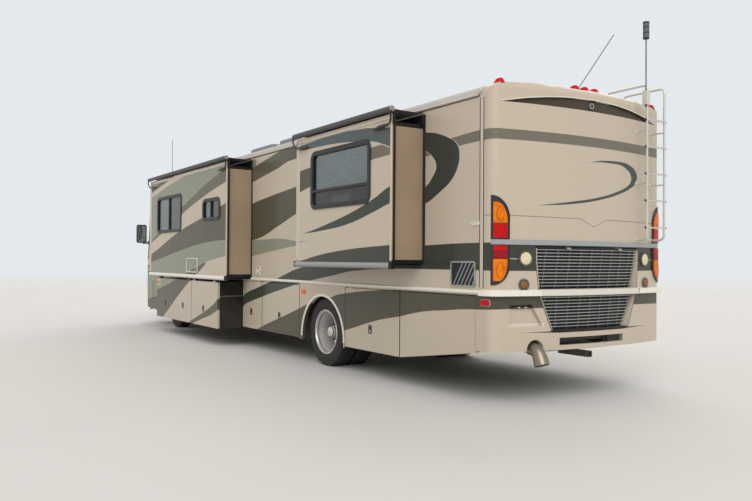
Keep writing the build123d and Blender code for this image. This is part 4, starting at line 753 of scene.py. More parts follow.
def plate(mesh, outline, back, front, place, step=0.0, shrink=0.0, index=0):
    """Adds a plate: an outline in the surface's own two directions, from back to front off it."""
    made = bmesh.new()
    made.faces.new([made.verts.new((u, v, 0)) for u, v in outline])
    if step:
        us = [u for u, v in outline]
        at = min(us) + step
        while at < max(us) - step * 0.3:
            whole = made.verts[:] + made.edges[:] + made.faces[:]
            bmesh.ops.bisect_plane(made, geom=whole, plane_co=(at, 0, 0), plane_no=(1, 0, 0))
            at += step
    grown = bmesh.ops.extrude_face_region(made, geom=made.faces[:])
    top = [g for g in grown["geom"] if isinstance(g, bmesh.types.BMVert)]
    middle = [sum(p[i] for p in outline) / len(outline) for i in (0, 1)]
    half = [max(abs(p[i] - middle[i]) for p in outline) for i in (0, 1)]
    for v in top:
        v.co.z = 1
        for i in (0, 1):
            v.co[i] = middle[i] + (v.co[i] - middle[i]) * (1 - shrink / half[i])
    for v in made.verts:
        v.co = place(v.co.x, v.co.y, back + (front - back) * v.co.z)
    add_mesh(mesh, made, index)


def loft(mesh, rows, index=0, round_=True, ends=True, wrap=False):
    """Adds a skin over rows of points."""
    made = bmesh.new()
    rows = [[made.verts.new(p) for p in row] for row in rows]
    for a, b in zip(rows, rows[1:] + (rows[:1] if wrap else [])):
        count = len(a)
        for i in range(count if round_ else count - 1):
            made.faces.new((a[i], a[(i + 1) % count], b[(i + 1) % count], b[i]))
    if ends and not wrap:
        made.faces.new(rows[0])
        made.faces.new(rows[-1])
    add_mesh(mesh, made, index)


def rounded(u0, u1, v0, v1, radius, steps=5):
    """A rectangle's outline with rounded corners."""
    points = []
    right, left, top, bottom = u1 - radius, u0 + radius, v1 - radius, v0 + radius
    for cu, cv, start in ((right, top, 0), (left, top, 90), (left, bottom, 180), (right, bottom, 270)):
        for i in range(steps + 1):
            a = radians(start + 90 * i / steps)
            points.append((cu + radius * cos(a), cv + radius * sin(a)))
    return points


def around(u, v, half_width, half_height, radius):
    """A rounded rectangle's outline about a point."""
    return rounded(u - half_width, u + half_width, v - half_height, v + half_height, radius)


def disc(u, v, radius, count=32, squash=1.0):
    turns = [tau * i / count for i in range(count)]
    return [(u + radius * cos(a), v + radius * squash * sin(a)) for a in turns]


def ring_plate(mesh, outer, inner, back, front, place, index=0):
    """Adds a flat frame between two outlines with the same number of points."""
    lines = ((inner, back), (inner, front), (outer, front), (outer, back))
    loft(mesh, [[place(u, v, depth) for u, v in line] for line, depth in lines], index, wrap=True)


def pan(mesh, box, place, rim, corners, proud, floor=0.001, lap=0.001):
    """Adds a recess on a surface: a proud rim round a box, and a floor that laps under the rim."""
    (u0, u1, v0, v1), (outer, inner) = box, corners
    inset = lambda by: rounded(u0 + by, u1 - by, v0 + by, v1 - by, inner)
    ring_plate(mesh, rounded(*box, outer), inset(rim), -0.001, proud, place, 0)
    plate(mesh, inset(rim - lap), -0.001, floor, place, index=1)


def domed(mesh, u, v, radius, place, heights, index=0, count=40):
    """Adds a domed disc on a surface: pairs of radius fraction and height off it."""
    loft(mesh, [[place(a, b, out) for a, b in disc(u, v, radius * r, count)] for r, out in heights], index)


def turned(mesh, profile, centre, axis="y", count=64, index=0, closed=False, side=1.0):
    """Adds a lathe form: profile of (along, radius) about an axle through centre."""
    rows = []
    for along, radius in profile:
        row = []
        for i in range(count):
            turn, reach, out = tau * i / count, max(radius, 1e-4), side * along
            c, s = reach * cos(turn), reach * sin(turn)
            offset = {"y": (c, out, s), "x": (out, c, s), "z": (c, s, out)}[axis]
            row.append(Vector(centre) + Vector(offset))
        rows.append(row)
    loft(mesh, rows, index, wrap=closed)


def tube(mesh, points, radius, count=12, index=0):
    """Adds a round tube along points; radius is one value or one for each point."""
    points = [Vector(p) for p in points]
    radii = radius if isinstance(radius, list) else [radius] * len(points)
    rows, up = [], None
    for i, p in enumerate(points):
        ahead = (points[min(i + 1, len(points) - 1)] - points[max(i - 1, 0)]).normalized()
        up = ahead.orthogonal() if up is None else up - ahead * up.dot(ahead)
        up.normalize()
        across = ahead.cross(up)
        turns = [tau * k / count for k in range(count)]
        rows.append([p + radii[i] * (up * cos(a) + across * sin(a)) for a in turns])
    loft(mesh, rows, index)


def bar(mesh, low, high, index=0):
    """Adds a box between two corners."""
    (x0, y0, z0), (x1, y1, z1) = low, high
    loft(mesh, [[(x, y0, z0), (x, y1, z0), (x, y1, z1), (x, y0, z1)] for x in (x0, x1)], index)


def swept(mesh, profile, sides, index=0):
    """Adds a moulding along the tail: a profile of (out, height) pairs at each side in turn."""
    loft(mesh, [[on_tail(y, z, out) for out, z in profile] for y in sides], index)


def spread(low, high, count):
    return [low + (high - low) * k / count for k in range(count + 1)]


# Operators
class CoachOperator:
    """An operator that makes its pieces from the scene's settings"""
    bl_options = {"REGISTER", "UNDO"}

    def execute(self, context):
        self.make(context.scene.coach_sizes)
        return {"FINISHED"}


class PaintSurfaces(CoachOperator, bpy.types.Operator):
    """Gives every carried-over surface its finish"""
    bl_idname = "coach.paint_surfaces"
    bl_label = "Paint Surfaces"

    def make(self, sizes):
        for name, nodes in SURFACES.items():
            for node in nodes:
                NODES[node].data.materials.clear()
                NODES[node].data.materials.append(finish(name))


class MakeTailLamps(CoachOperator, bpy.types.Operator):
    """Makes the tail lamps, round lamps, side markers and the red lamps on the roof's rear edge"""
    bl_idname = "coach.make_tail_lamps"
    bl_label = "Tail Lamps"

    # Lens segments from the top down: top, bottom and finish
    segments = [(2.045, 1.833, 0), (1.831, 1.685, 1), (1.612, 1.556, 1), (1.554, 1.48, 2), (1.478, 1.255, 0)]
    outer_y, inner_y = 1.268, 1.132
    # The inner edge leans out from a height, over a reach, by a width
    leans = ((1.84, 0.208, 0.12), (1.44, -0.19, 0.105))
    markers = [
        # name, body, place, station, height, lens
        ("rear_marker_left", "coach", on_corner(1), 0.026, 1.037, "red_lens"),
        ("rear_marker_right", "coach", on_corner(-1), 0.026, 1.037, "red_lens"),
        ("middle_marker_left", "coach", ON_LEFT, 3.947, 1.0, "amber_lens"),
        ("middle_marker_right", "coach", ON_RIGHT, 3.947, 1.0, "amber_lens"),
        ("front_marker_left", "slide_bay_door_2", ON_ROOM, 9.43, 0.99, "amber_lens"),
        ("front_marker_right", "coach", ON_RIGHT, 9.65, 1.0, "amber_lens"),
    ]

    def make(self, sizes):
        for label, side in SIDES:
            self.tall_lamp(label, side)
            self.round_lamps(label, side)
        self.roof_lamps()
        for row in self.markers:
            self.marker(*row)

    def inner_edge(self, z):
        """How far from the middle a tall lamp's inner edge stands at a height."""
        lean = 0.0
        for limit, reach, width in self.leans:
            t = (z - limit) / reach
            if t > 0:
                lean = width * (1 - sqrt(max(0.0, 1 - min(t, 1.0)**2)))
        return self.inner_y + lean

    def tall_lamp(self, label, side):
        lenses = bmesh.new()
        for top, bottom, index in self.segments:
            outer = [(side * self.outer_y, z) for z in spread(bottom, top, 10)]
            inner = [(side * self.inner_edge(z), z) for z in spread(top, bottom, 10)]
            plate(lenses, outer + inner, 0.010, 0.021, on_tail, 0.03, 0.003, index)
        for z, tall in ((1.925, 0.075), (1.365, 0.08)):
            outer, inner = [disc(side * 1.208, z, radius, 32, (tall + radius - 0.035) / radius)
                            for radius in (0.04, 0.031)]
            ring_plate(lenses, outer, inner, 0.018, 0.0232, on_tail, 3)
        finishes = ["amber_lens", "red_lens", "deep_red_lens", "deep_amber_lens"]
        piece(f"tail_lamp_{label}", lenses, finishes, "coach", 50, 0.002)

    def round_lamps(self, label, side):
        rounds = bmesh.new()
        dome = ((1, 0.0125), (0.985, 0.018), (0.8, 0.024), (0.45, 0.028), (0.15, 0.0293))
        for y, z, radius, index in ((0.92, 1.483, 0.063, 0), (0.938, 1.22, 0.041, 2)):
            domed(rounds, side * y, z, radius, on_tail, dome, index)
            outer, inner = [disc(side * y, z, radius + rim, 40) for rim in (0.018, 0.002)]
            ring_plate(rounds, outer, inner, -0.002, 0.0165, on_tail, 1)
        finishes = ["clear_lens", "olive_trim", "brown_lens"]
        piece(f"round_lamps_{label}", rounds, finishes, "coach", 50, 0.0015)

    def roof_lamps(self):
        lamps = bmesh.new()
        rings = ((1.12, 0.0), (1.1, 0.018), (1.0, 0.024), (0.86, 0.042), (0.55, 0.055), (0.15, 0.06))
        for station, y in ((-0.03, 1.17), (-0.08, 0.15), (-0.08, 0.0), (-0.08, -0.15), (-0.03, -1.17)):
            base = Vector((station - DATUM, y, roof_at(y) - 0.012))
            loft(lamps, [[base + Vector((u - 0.012 * (1 - grow), v, up))
                          for u, v in disc(0, 0, 0.058 * grow, 24, 0.8)] for grow, up in rings])
        piece("roof_lamps", lamps, "red_lens", "coach", 60, 0)

    def marker(self, name, body, place, station, z, glass):
        made = bmesh.new()
        wide = 0.03 if name.startswith("front") else 0.0
        base = around(station, z, 0.07 + wide, 0.036 + wide, 0.03)
        plate(made, base, -0.001, 0.004, place, 0, 0.002, 1)
        plate(made, around(station, z, 0.064, 0.031, 0.028), 0.003, 0.018, place, 0, 0.008, 0)
        piece(name, made, [glass, "tan_trim"], body, 50, 0.0015)


class MakeEngineDoor(CoachOperator, bpy.types.Operator):
    """Makes the engine door: crossbar, leaning banks of bright slats, their jambs and the dark mesh behind"""
    bl_idname = "coach.make_engine_door"
    bl_label = "Engine Door"

    # The opening, as (height, half width)
    outline = [(0.735, 0.582), (1.13, 0.752), (1.45, 0.787), (1.604, 0.787)]
    banks = [
        # bottom, top, depth at the bottom and at the top
        (1.172, 1.588, 0.068, 0.008),
        (0.754, 1.098, 0.066, 0.03),
    ]
    crossbar_z, upright_pitch, slat_pitch = 1.13, 0.163, 0.034

    def half(self, z):
        """Half the opening's width at a height."""
        for (z0, half0), (z1, half1) in zip(self.outline, self.outline[1:]):
            if z <= z1:
                break
        return half0 + (half1 - half0) * (z - z0) / (z1 - z0)

    def make(self, sizes):
        surround, slats, behind = bmesh.new(), bmesh.new(), bmesh.new()
        crossbar = [(-0.03, 1.1), (0.038, 1.102), (0.0445, 1.108), (0.0445, 1.16), (0.036, 1.167),
                    (-0.03, 1.172)]
        self.across(surround, crossbar, self.half(self.crossbar_z) - 0.002, 32, 0)
        for bottom, top, deep, shallow in self.banks:
            depth = lambda z: shallow + (deep - shallow) * (top - z) / (top - bottom)
            self.jambs(surround, bottom, top, depth)
            self.mesh_behind(behind, bottom, top, depth)
            self.uprights(slats, bottom, top, depth)
            self.slats(slats, bottom, top, depth)
        for low, high in ((1.588, 1.602), (0.736, 0.75)):
            edge = [(-0.045, low), (-0.001, low), (-0.001, high), (-0.045, high)]
            self.across(surround, edge, self.half(low) - 0.004, 24, 2)
        finishes = ["cream_trim", "tan_trim", "gloss_black"]
        made = piece("engine_door_frame", surround, finishes, "engine_door", 40, 0.002)
        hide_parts("engine_door")
        piece("engine_door_slats", slats, ["grille_slat", "grey_plastic"], "engine_door", 40, 0)
        piece("engine_door_mesh", behind, "dark_mesh", "engine_door", 60, 0)
        self.clips()

    def across(self, mesh, profile, half, count, index):
        """Adds a bar over the whole opening."""
        swept(mesh, profile, spread(-half, half, count), index)

    def jambs(self, mesh, bottom, top, depth):
        for side in (-1, 1):
            rows = []
            for z in spread(bottom - 0.004, top + 0.006, 8):
                deep = -depth(z) - 0.03
                section = ((0.003, -0.002), (0.011, -0.001), (0.016, deep), (0.009, deep))
                rows.append([on_tail(side * (self.half(z) - inset), z, out) for inset, out in section])
            loft(mesh, rows, 1)

    def mesh_behind(self, mesh, bottom, top, depth):
        """A pleated sheet behind a bank's slats."""
        half_count, pleat = 32, 0.003
        rows = []
        for z in spread(bottom - 0.004, top + 0.006, 40):
            step = (self.half(z) - 0.016) / half_count
            rows.append([on_tail(k * step, z, -depth(z) - 0.028 + pleat * (k % 2))
                         for k in range(-half_count, half_count + 1)])
        loft(mesh, rows, 0, False, False)

    def uprights(self, mesh, bottom, top, depth):
        section = ((-0.005, 0), (0.005, 0), (0.005, 0.01), (-0.005, 0.01))
        for k in range(-4, 5):
            middle = k * self.upright_pitch
            heights = [z for z in spread(bottom, top, 8) if abs(middle) < self.half(z) - 0.03]
            loft(mesh, [[on_tail(middle + y, z, -depth(z) - 0.012 - down) for y, down in section]
                        for z in heights], 1)

    def slats(self, mesh, bottom, top, depth):
        z = top - 0.012
        while z > bottom + 0.008:
            out = -depth(z)
            profile = [(out - 0.009, z - 0.005), (out, z - 0.0035), (out + 0.001, z + 0.0025),
                       (out - 0.009, z + 0.0045)]
            self.across(mesh, profile, self.half(z) - 0.014, 24, 0)
            z -= self.slat_pitch

    def clips(self):
        clips = bmesh.new()
        for y in (0.375, -0.425):
            profile = [(-0.004, 1.574), (0.012, 1.578), (0.014, 1.6), (-0.004, 1.603)]
            swept(clips, profile, spread(y - 0.03, y + 0.03, 2))
        piece("engine_door_clips", clips, "silver_trim", "engine_door", 40, 0.002)


class MakeTailFittings(CoachOperator, bpy.types.Operator):
    """Makes the rear camera, plate lamp, exhaust tip, ladder caps and the aerial's clamp box"""
    bl_idname = "coach.make_tail_fittings"
    bl_label = "Tail Fittings"

    camera_y, camera_z = 0.027, 3.112
    pipe_y = 0.795
    # The exhaust tip's run, as (station, height, radius)
    pipe = [(-0.1, 0.567, 0.066), (-0.155, 0.562, 0.067), (-0.188, 0.55, 0.068), (-0.215, 0.524, 0.07),
            (-0.236, 0.488, 0.073), (-0.251, 0.452, 0.076), (-0.265, 0.411, 0.079)]
    ladder_x = LADDER_X - DATUM
    mast_y = LADDER_Y[0] + 0.0203

    def make(self, sizes):
        self.rear_camera()
        self.plate_lamp()
        self.exhaust_tip()
        self.ladder_caps()
        self.aerial_clamp()
        self.aerial_bands()

    def rear_camera(self):
        camera = bmesh.new()
        outer, inner = [disc(self.camera_y, self.camera_z, radius, 32) for radius in (0.032, 0.019)]
        ring_plate(camera, outer, inner, -0.031, -0.008, on_tail, 0)
        dome = ((1, -0.03), (1, -0.014), (0.7, -0.009), (0.2, -0.007))
        domed(camera, self.camera_y, self.camera_z, 0.02, on_tail, dome, 1, 24)
        piece("rear_camera", camera, ["silver_trim", "camera_glass"], "coach", 40, 0.001)

    def plate_lamp(self):
        lamp = bmesh.new()
        plate(lamp, rounded(0.825, 1.055, 0.978, 1.0, 0.009), -0.033, -0.016, on_tail, 0.04, 0.003, 0)
        for y in (0.9, 0.98):
            bulb = rounded(y - 0.014, y + 0.014, 0.983, 0.994, 0.004)
            plate(lamp, bulb, -0.017, -0.013, on_tail, 0, 0.001, 1)
        piece("plate_lamp", lamp, ["gloss_black", "clear_lens"], "coach", 40, 0.001)

    def exhaust_tip(self):
        tip = bmesh.new()
        route = [(station - DATUM, self.pipe_y, z) for station, z, _ in self.pipe]
        tube(tip, route, [radius for _, _, radius in self.pipe], 40)
        mouth = [(x - DATUM, self.pipe_y, z) for x, z in ((-0.2652, 0.413), (-0.2668, 0.4085))]
        tube(tip, mouth, 0.072, 40, 1)
        piece("exhaust_tip", tip, ["exhaust_steel", "black_rubber"], "coach", 50, 0.0015)

    def ladder_caps(self):
        """End caps and grip ribs on the rungs, feet on the tail and joints on the uprights."""
        caps, x = bmesh.new(), self.ladder_x
        low, high = LADDER_Y[1], LADDER_Y[0]
        end_cap = [(-0.004, 0.012), (0.004, 0.0125), (0.007, 0.009), (0.008, 0.0)]
        for z in RUNGS:
            for y, side in ((high + 0.024, 1), (low - 0.024, -1)):
                turned(caps, end_cap, (x, y, z), "y", 16, 0, False, side)
            for k in range(5):
                rib = x - 0.0135 + 0.006 * k
                bar(caps, (rib, low + 0.03, z + 0.0065), (rib + 0.003, high - 0.03, z + 0.0085))
        for y in LADDER_Y:
            for z in (1.705, 2.33, 2.92):
                domed(caps, y, z, 0.03, on_tail, ((1, -0.001), (1, 0.005), (0.8, 0.009), (0.5, 0.01)), 1, 24)
            for z in (2.0, 2.62, 3.2):
                joint = [(-0.012, 0.0148), (0.012, 0.0148), (0.013, 0.013), (-0.013, 0.013)]
                turned(caps, joint, (x, y, z), "z", 20, 1, True)
        piece("ladder_caps", caps, ["black_rubber", "bright_tube"], "coach", 40, 0)

    def aerial_clamp(self):
        box, x, y = bmesh.new(), self.ladder_x, self.mast_y
        bar(box, (x - 0.033, y - 0.03, 3.2), (x + 0.03, y + 0.028, 3.36), 0)
        for z in (3.225, 3.31):
            bar(box, (x - 0.028, y - 0.04, z), (x + 0.026, y - 0.031, z + 0.025), 1)
        for z in (3.19, 3.37):
            turned(box, [(-0.012, 0.012), (0.012, 0.012)], (x, y, z), "z", 20, 1)
        piece("aerial_clamp", box, ["white_plastic", "grey_plastic"], "coach", 40, 0.004)

    def aerial_bands(self):
        bands = bmesh.new()
        for z, grow in ((3.94, 1.01), (4.0, 1.005), (4.06, 1.005), (4.11, 1.01)):
            edge = 0.034 * grow
            band_edge = [(-0.006, edge), (0.0, 0.0352), (0.006, edge)]
            turned(bands, band_edge, (self.ladder_x, self.mast_y, z), "z", 32)
        piece("aerial_bands", bands, "black_rubber", "coach", 50, 0)


class MakeMouldings(CoachOperator, bpy.types.Operator):
    """Makes the corner strips, the drip rails and the seals and trims of the slide-out rooms"""
    bl_idname = "coach.make_mouldings"
    bl_label = "Mouldings and Seals"

    seal_top = 3.088
    roller_end = [(-0.002, 0.0), (-0.002, 0.0338), (0.012, 0.0338), (0.014, 0.03), (0.03, 0.03),
                  (0.032, 0.0335)]
    bracket_cap = [(-0.004, 0.0335), (0.003, 0.0335), (0.006, 0.03), (0.006, 0.02), (0.003, 0.018),
                   (0.003, 0.009),
                   (0.007, 0.008), (0.008, 0.0)]

    def make(self, sizes):
        for label, side in SIDES:
            self.corner_strip(label, on_side(side))
            self.drip_rail(label, on_side(side))
        for name, (rear, front, bottom) in ROOMS.items():
            self.room_seal(name, rear, front, bottom)
            self.room_trims(name, rear, front, bottom)
            self.roller(name, rear, front)
            self.brackets(name, rear, front)

    def corner_strip(self, label, place):
        strips = bmesh.new()
        # The black strip is wider than the moulding on it, and shows on both sides as painted shadow
        plate(strips, rounded(0.05, 0.117, 1.186, 3.11, 0.004), -0.001, 0.0015, place, index=1)
        plate(strips, rounded(0.06, 0.107, 1.186, 3.12, 0.01), 0.0, 0.007, place, 0, 0.008, 0)
        plate(strips, disc(0.084, 1.188, 0.017, 16), 0.002, 0.011, place, 0, 0.004, 0)
        piece(f"corner_strip_{label}", strips, ["tan_trim", "black_rubber"], "coach", 30, 0.0015)

    def drip_rail(self, label, place):
        """The gutter's rail with a shadow strip under it, and its curled rear end."""
        rails = bmesh.new()
        profile = [(0.0, 3.128), (0.011, 3.129), (0.019, 3.139), (0.019, 3.149), (0.014, 3.153),
                   (0.008, 3.147),
                   (-0.004, 3.16)]
        for lift, shrink, index in ((0.0, 1.0, 0), (-0.008, 0.6, 1)):
            loft(rails, [[place(station, z + lift, out * shrink) for out, z in profile]
                         for station in spread(0.128, 11.5, 60)], index)
        curl = [(0.13, 3.15, 0.012), (0.112, 3.156, 0.014), (0.102, 3.172, 0.012), (0.106, 3.192, 0.006),
                (0.122, 3.203, -0.004), (0.142, 3.2, -0.006)]
        tube(rails, [place(*point) for point in curl], 0.008, 10, 0)
        piece(f"drip_rail_{label}", rails, ["tan_trim", "frame_black"], "coach", 30, 0)

    def room_seal(self, name, rear, front, bottom):
        seal, low, high, wide = bmesh.new(), bottom + 0.045, ROOM_TOP - 0.065, 0.035
        strips = ((rear - 0.015, rear + wide, low, self.seal_top),
                  (front - wide, front + 0.015, low, self.seal_top),
                  (rear + wide, front - wide, high, self.seal_top),
                  (rear + wide, front - wide, max(low - 0.04, 1.127), low))
        for u0, u1, v0, v1 in strips:
            plate(seal, [(u0, v0), (u1, v0), (u1, v1), (u0, v1)], 0.0002, 0.0045, ON_LEFT, 0, 0.003)
        piece(f"{name}_room_seal", seal, "black_rubber", "coach", 30, 0.001)

    def room_trims(self, name, rear, front, bottom):
        trims = bmesh.new()
        for u0, u1 in ((rear + 0.001, rear + 0.035), (front - 0.095, front - 0.002)):
            plate(trims, rounded(u0, u1, bottom + 0.085, 2.985, 0.006), -0.001, 0.008, ON_ROOM, 0, 0.008, 0)
        head = rounded(rear + 0.03, front - 0.03, 2.99, 3.03, 0.006)
        plate(trims, head, -0.001, 0.008, ON_ROOM, 0.4, 0.006, 0)
        for u0, u1 in ((rear + 0.001, rear + 0.014), (front - 0.014, front - 0.001)):
            foot = rounded(u0, u1, bottom + 0.002, bottom + 0.078, 0.005)
            plate(trims, foot, -0.001, 0.036, ON_ROOM, 0, 0.003, 1)
        piece(f"{name}_room_trims", trims, ["tan_trim", "black_rubber"], f"{name}_slide", 30, 0.002)

    def roller(self, name, rear, front):
        """A topper's roller with its end bands and three slots along it."""
        roller, length, radius = bmesh.new(), front - rear + 0.056, 0.0332
        profile = self.roller_end + [(length - along, r) for along, r in reversed(self.roller_end)]
        turned(roller, profile, (rear - 0.028 - DATUM, ROLLER_Y, ROLLER_Z), "x", 40)
        for k in range(3):
            turn = radians(35 + 120 * k)
            y, z = ROLLER_Y + radius * cos(turn), ROLLER_Z + radius * sin(turn)
            bar(roller, (rear + 0.01 - DATUM, y - 0.002, z - 0.002),
                (front - 0.01 - DATUM, y + 0.002, z + 0.002), 1)
        finishes = ["roller_cloth", "grey_plastic"]
        made = piece(f"{name}_roller", roller, finishes, f"{name}_slide", 40, 0)
        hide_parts(f"{name}_topper_roller")

    def brackets(self, name, rear, front):
        """The roller's end caps, their swinging arms and the levers under the fabric."""
        ends = bmesh.new()
        for station, side in ((rear - 0.032, -1), (front + 0.032, 1)):
            centre = (station - DATUM, ROLLER_Y, ROLLER_Z)
            turned(ends, self.bracket_cap, centre, "x", 40, 0, False, side)
            arm = [(-0.001, 0.012, ROLLER_Z - 0.02), (0.0, 0.02, ROLLER_Z - 0.07),
                   (0.015, 0.008, ROLLER_Z - 0.12),
                   (0.05, 0.0, 2.945)]
            lever = [(0.07, 0.002, 2.935), (0.23, 0.008, 2.925), (0.37, 0.002, 2.915)]
            for route, radius, count in ((arm, 0.011, 10), (lever, [0.012, 0.021, 0.012], 12)):
                tube(ends, [(station - back * side - DATUM, ROLLER_Y + y, z) for back, y, z in route],
                     radius, count, 1)
        finishes = ["silver_trim", "gloss_black"]
        piece(f"{name}_topper_brackets", ends, finishes, f"{name}_slide", 40, 0)


class MakeSideFittings(CoachOperator, bpy.types.Operator):
    """Makes the vents, outlets, latches and the blinds behind the windows"""
    bl_idname = "coach.make_side_fittings"
    bl_label = "Side Fittings"

    vents = [
        # name, body, place, rear, front, bottom, top, number of slats, slant, finishes
        ("rear_vent_left", "coach", ON_LEFT, 0.17, 0.573, 1.186, 1.453, 6, 0.16,
         ["silver_trim", "dark_mesh"]),
        ("rear_vent_right", "coach", ON_RIGHT, 0.17, 0.573, 1.186, 1.453, 6, 0.16,
         ["silver_trim", "dark_mesh"]),
        ("room_vent", "front_slide", ON_ROOM, 7.171, 7.755, 1.217, 1.474, 2, 0.3,
         ["cream_trim", "coach_paint"]),
        ("outlet_box", "coach", ON_LEFT, 5.485, 5.626, 1.198, 1.357, 0, 0.0, ["cream_trim", "tan_trim"]),
        ("fridge_vent", "coach", ON_RIGHT, 3.1, 3.62, 1.42, 1.98, 12, 0.0, ["cream_trim", "dark_mesh"]),
        ("heater_vent", "coach", ON_RIGHT, 5.9, 6.3, 1.22, 1.5, 5, 0.0, ["cream_trim", "dark_mesh"]),
        ("front_slot", "left_front_bay_door", ON_LEFT, 11.29, 11.37, 0.59, 0.99, 0, 0.0,
         ["tan_trim", "gloss_black"]),
        ("tail_marks", "coach", ON_LEFT, 0.11, 0.235, 1.818, 1.86, 2, 0.0, ["cream_trim", "coach_paint"]),
    ]
    latch_z = 0.6
    latches = [
        # station, body, place
        (9.005, "slide_bay_door_2", ON_ROOM), (7.951, "slide_bay_door_2", ON_ROOM),
        (6.865, "slide_bay_door_1", ON_ROOM), (5.815, "left_bay_door_4", ON_LEFT),
        (4.757, "left_bay_door_3", ON_LEFT), (2.164, "left_bay_door_2", ON_LEFT),
        (11.352, "left_front_bay_door", ON_LEFT), (9.847, "coach", ON_LEFT),
        (2.164, "right_bay_door_2", ON_RIGHT), (4.757, "right_bay_door_3", ON_RIGHT),
        (5.9, "right_bay_door_4", ON_RIGHT), (6.95, "right_bay_door_4", ON_RIGHT),
        (8.0, "right_bay_door_5", ON_RIGHT), (9.05, "right_bay_door_5", ON_RIGHT),
        (0.85, "right_bay_door_1", ON_RIGHT),
    ]
    blinds = [
        # name, body, side, face, rear, front, bottom, top
        ("front_room_blind_1", "front_slide", 1, FACE_Y, 8.12, 9.53, 2.01, 2.645),
        ("front_room_blind_2", "front_slide", 1, FACE_Y, 6.16, 6.895, 2.15, 2.45),
        ("rear_room_blind", "rear_slide", 1, FACE_Y, 1.525, 2.875, 2.35, 2.798),
        ("driver_blind", "coach", 1, HALF_WIDTH, 10.44, 11.31, 2.45, 2.73),
        ("right_blind_1", "coach", -1, HALF_WIDTH, 1.52, 2.68, 2.1, 2.74),
        ("right_blind_2", "coach", -1, HALF_WIDTH, 4.72, 5.38, 2.2, 2.68),
        ("right_blind_3", "coach", -1, HALF_WIDTH, 7.02, 8.88, 2.02, 2.74),
        ("right_blind_4", "coach", -1, HALF_WIDTH, 9.57, 10.48, 2.0, 2.74),
    ]
    slat_pitch = 0.03

    def make(self, sizes):
        for row in self.vents:
            self.vent(*row)
        for number, row in enumerate(self.latches):
            self.latch(f"bay_latch_{number + 1}", *row)
        for row in self.blinds:
            self.blind(*row)

    def vent(self, name, body, place, u0, u1, v0, v1, count, slant, finishes):
        """A framed vent or box with slanted or level slats."""
        made, large = bmesh.new(), u1 - u0 > 0.16
        rim = 0.018 if large else 0.01
        corners = (0.028 if large else 0.012, 0.006)
        pan(made, (u0, u1, v0, v1), place, rim, corners, 0.011, 0.0015, 0.2 * rim)
        low, high = (u0 + rim, v0 + rim), (u1 - rim, v1 - rim)
        for k in range(count):
            if slant:
                a = low[0] + (high[0] - low[0]) * (k + 0.4) / count
                b = min(a + slant, high[0] - 0.006)
                top = low[1] + (high[1] - low[1]) * (b - a) / slant
                leaning = ((a, low[1]), (a + 0.014, low[1]), (b + 0.005, top), (b - 0.009, top))
                line = [(u0 + u1 - u, v) for u, v in leaning]
            else:
                z = low[1] + (high[1] - low[1]) * (k + 0.5) / count
                line = [(low[0], z - 0.009), (high[0], z - 0.009), (high[0], z + 0.003), (low[0], z + 0.003)]
            plate(made, line, 0.001, 0.008, place, index=0)
        if name == "outlet_box":
            knob = ((1, 0.001), (1, 0.016), (0.8, 0.02), (0.3, 0.021))
            domed(made, (u0 + u1) / 2 + 0.02, (v0 + v1) / 2 - 0.02, 0.032, place, knob, 0, 24)
        piece(name, made, finishes, body, 30, 0.0015)

    def latch(self, name, station, body, place):
        """A recessed paddle latch with its lock."""
        made, z = bmesh.new(), self.latch_z
        box = (station - 0.036, station + 0.036, z - 0.055, z + 0.055)
        pan(made, box, place, 0.01, (0.02, 0.014), 0.006)
        paddle = rounded(station - 0.02, station + 0.02, z - 0.005, z + 0.036, 0.01)
        plate(made, paddle, 0.001, 0.009, place, 0, 0.004, 0)
        lock = ((1, 0.001), (1, 0.006), (0.6, 0.008), (0.2, 0.0085))
        domed(made, station, z - 0.025, 0.011, place, lock, 1, 16)
        piece(name, made, ["gloss_black", "silver_trim"], body, 40, 0.001)

    def blind(self, name, body, side, face, rear, front, bottom, top):
        """A venetian blind: head rail, slats and three cords."""
        made, u0, u1 = bmesh.new(), rear - 0.1, front + 0.1
        place = lambda station, depth, z: (station - DATUM, side * (face - depth), z)
        bar(made, place(u0, 0.09, top - 0.012), place(u1, 0.05, top + 0.02))
        slat = ((-0.009, -0.012), (0.001, -0.003), (0.009, 0.012), (0.008, 0.013), (0.0, -0.001),
                (-0.01, -0.011))
        z = top - 0.02
        while z > bottom:
            loft(made, [[place(u, 0.07 - dy, z + dz) for dy, dz in slat] for u in (u0, u1)])
            z -= self.slat_pitch
        for t in (0.12, 0.5, 0.88):
            u = u0 + (u1 - u0) * t
            tube(made, [place(u, 0.058, top), place(u, 0.058, bottom - 0.01)], 0.0015, 6)
        piece(name, made, "blind_slat", body, 40, 0)


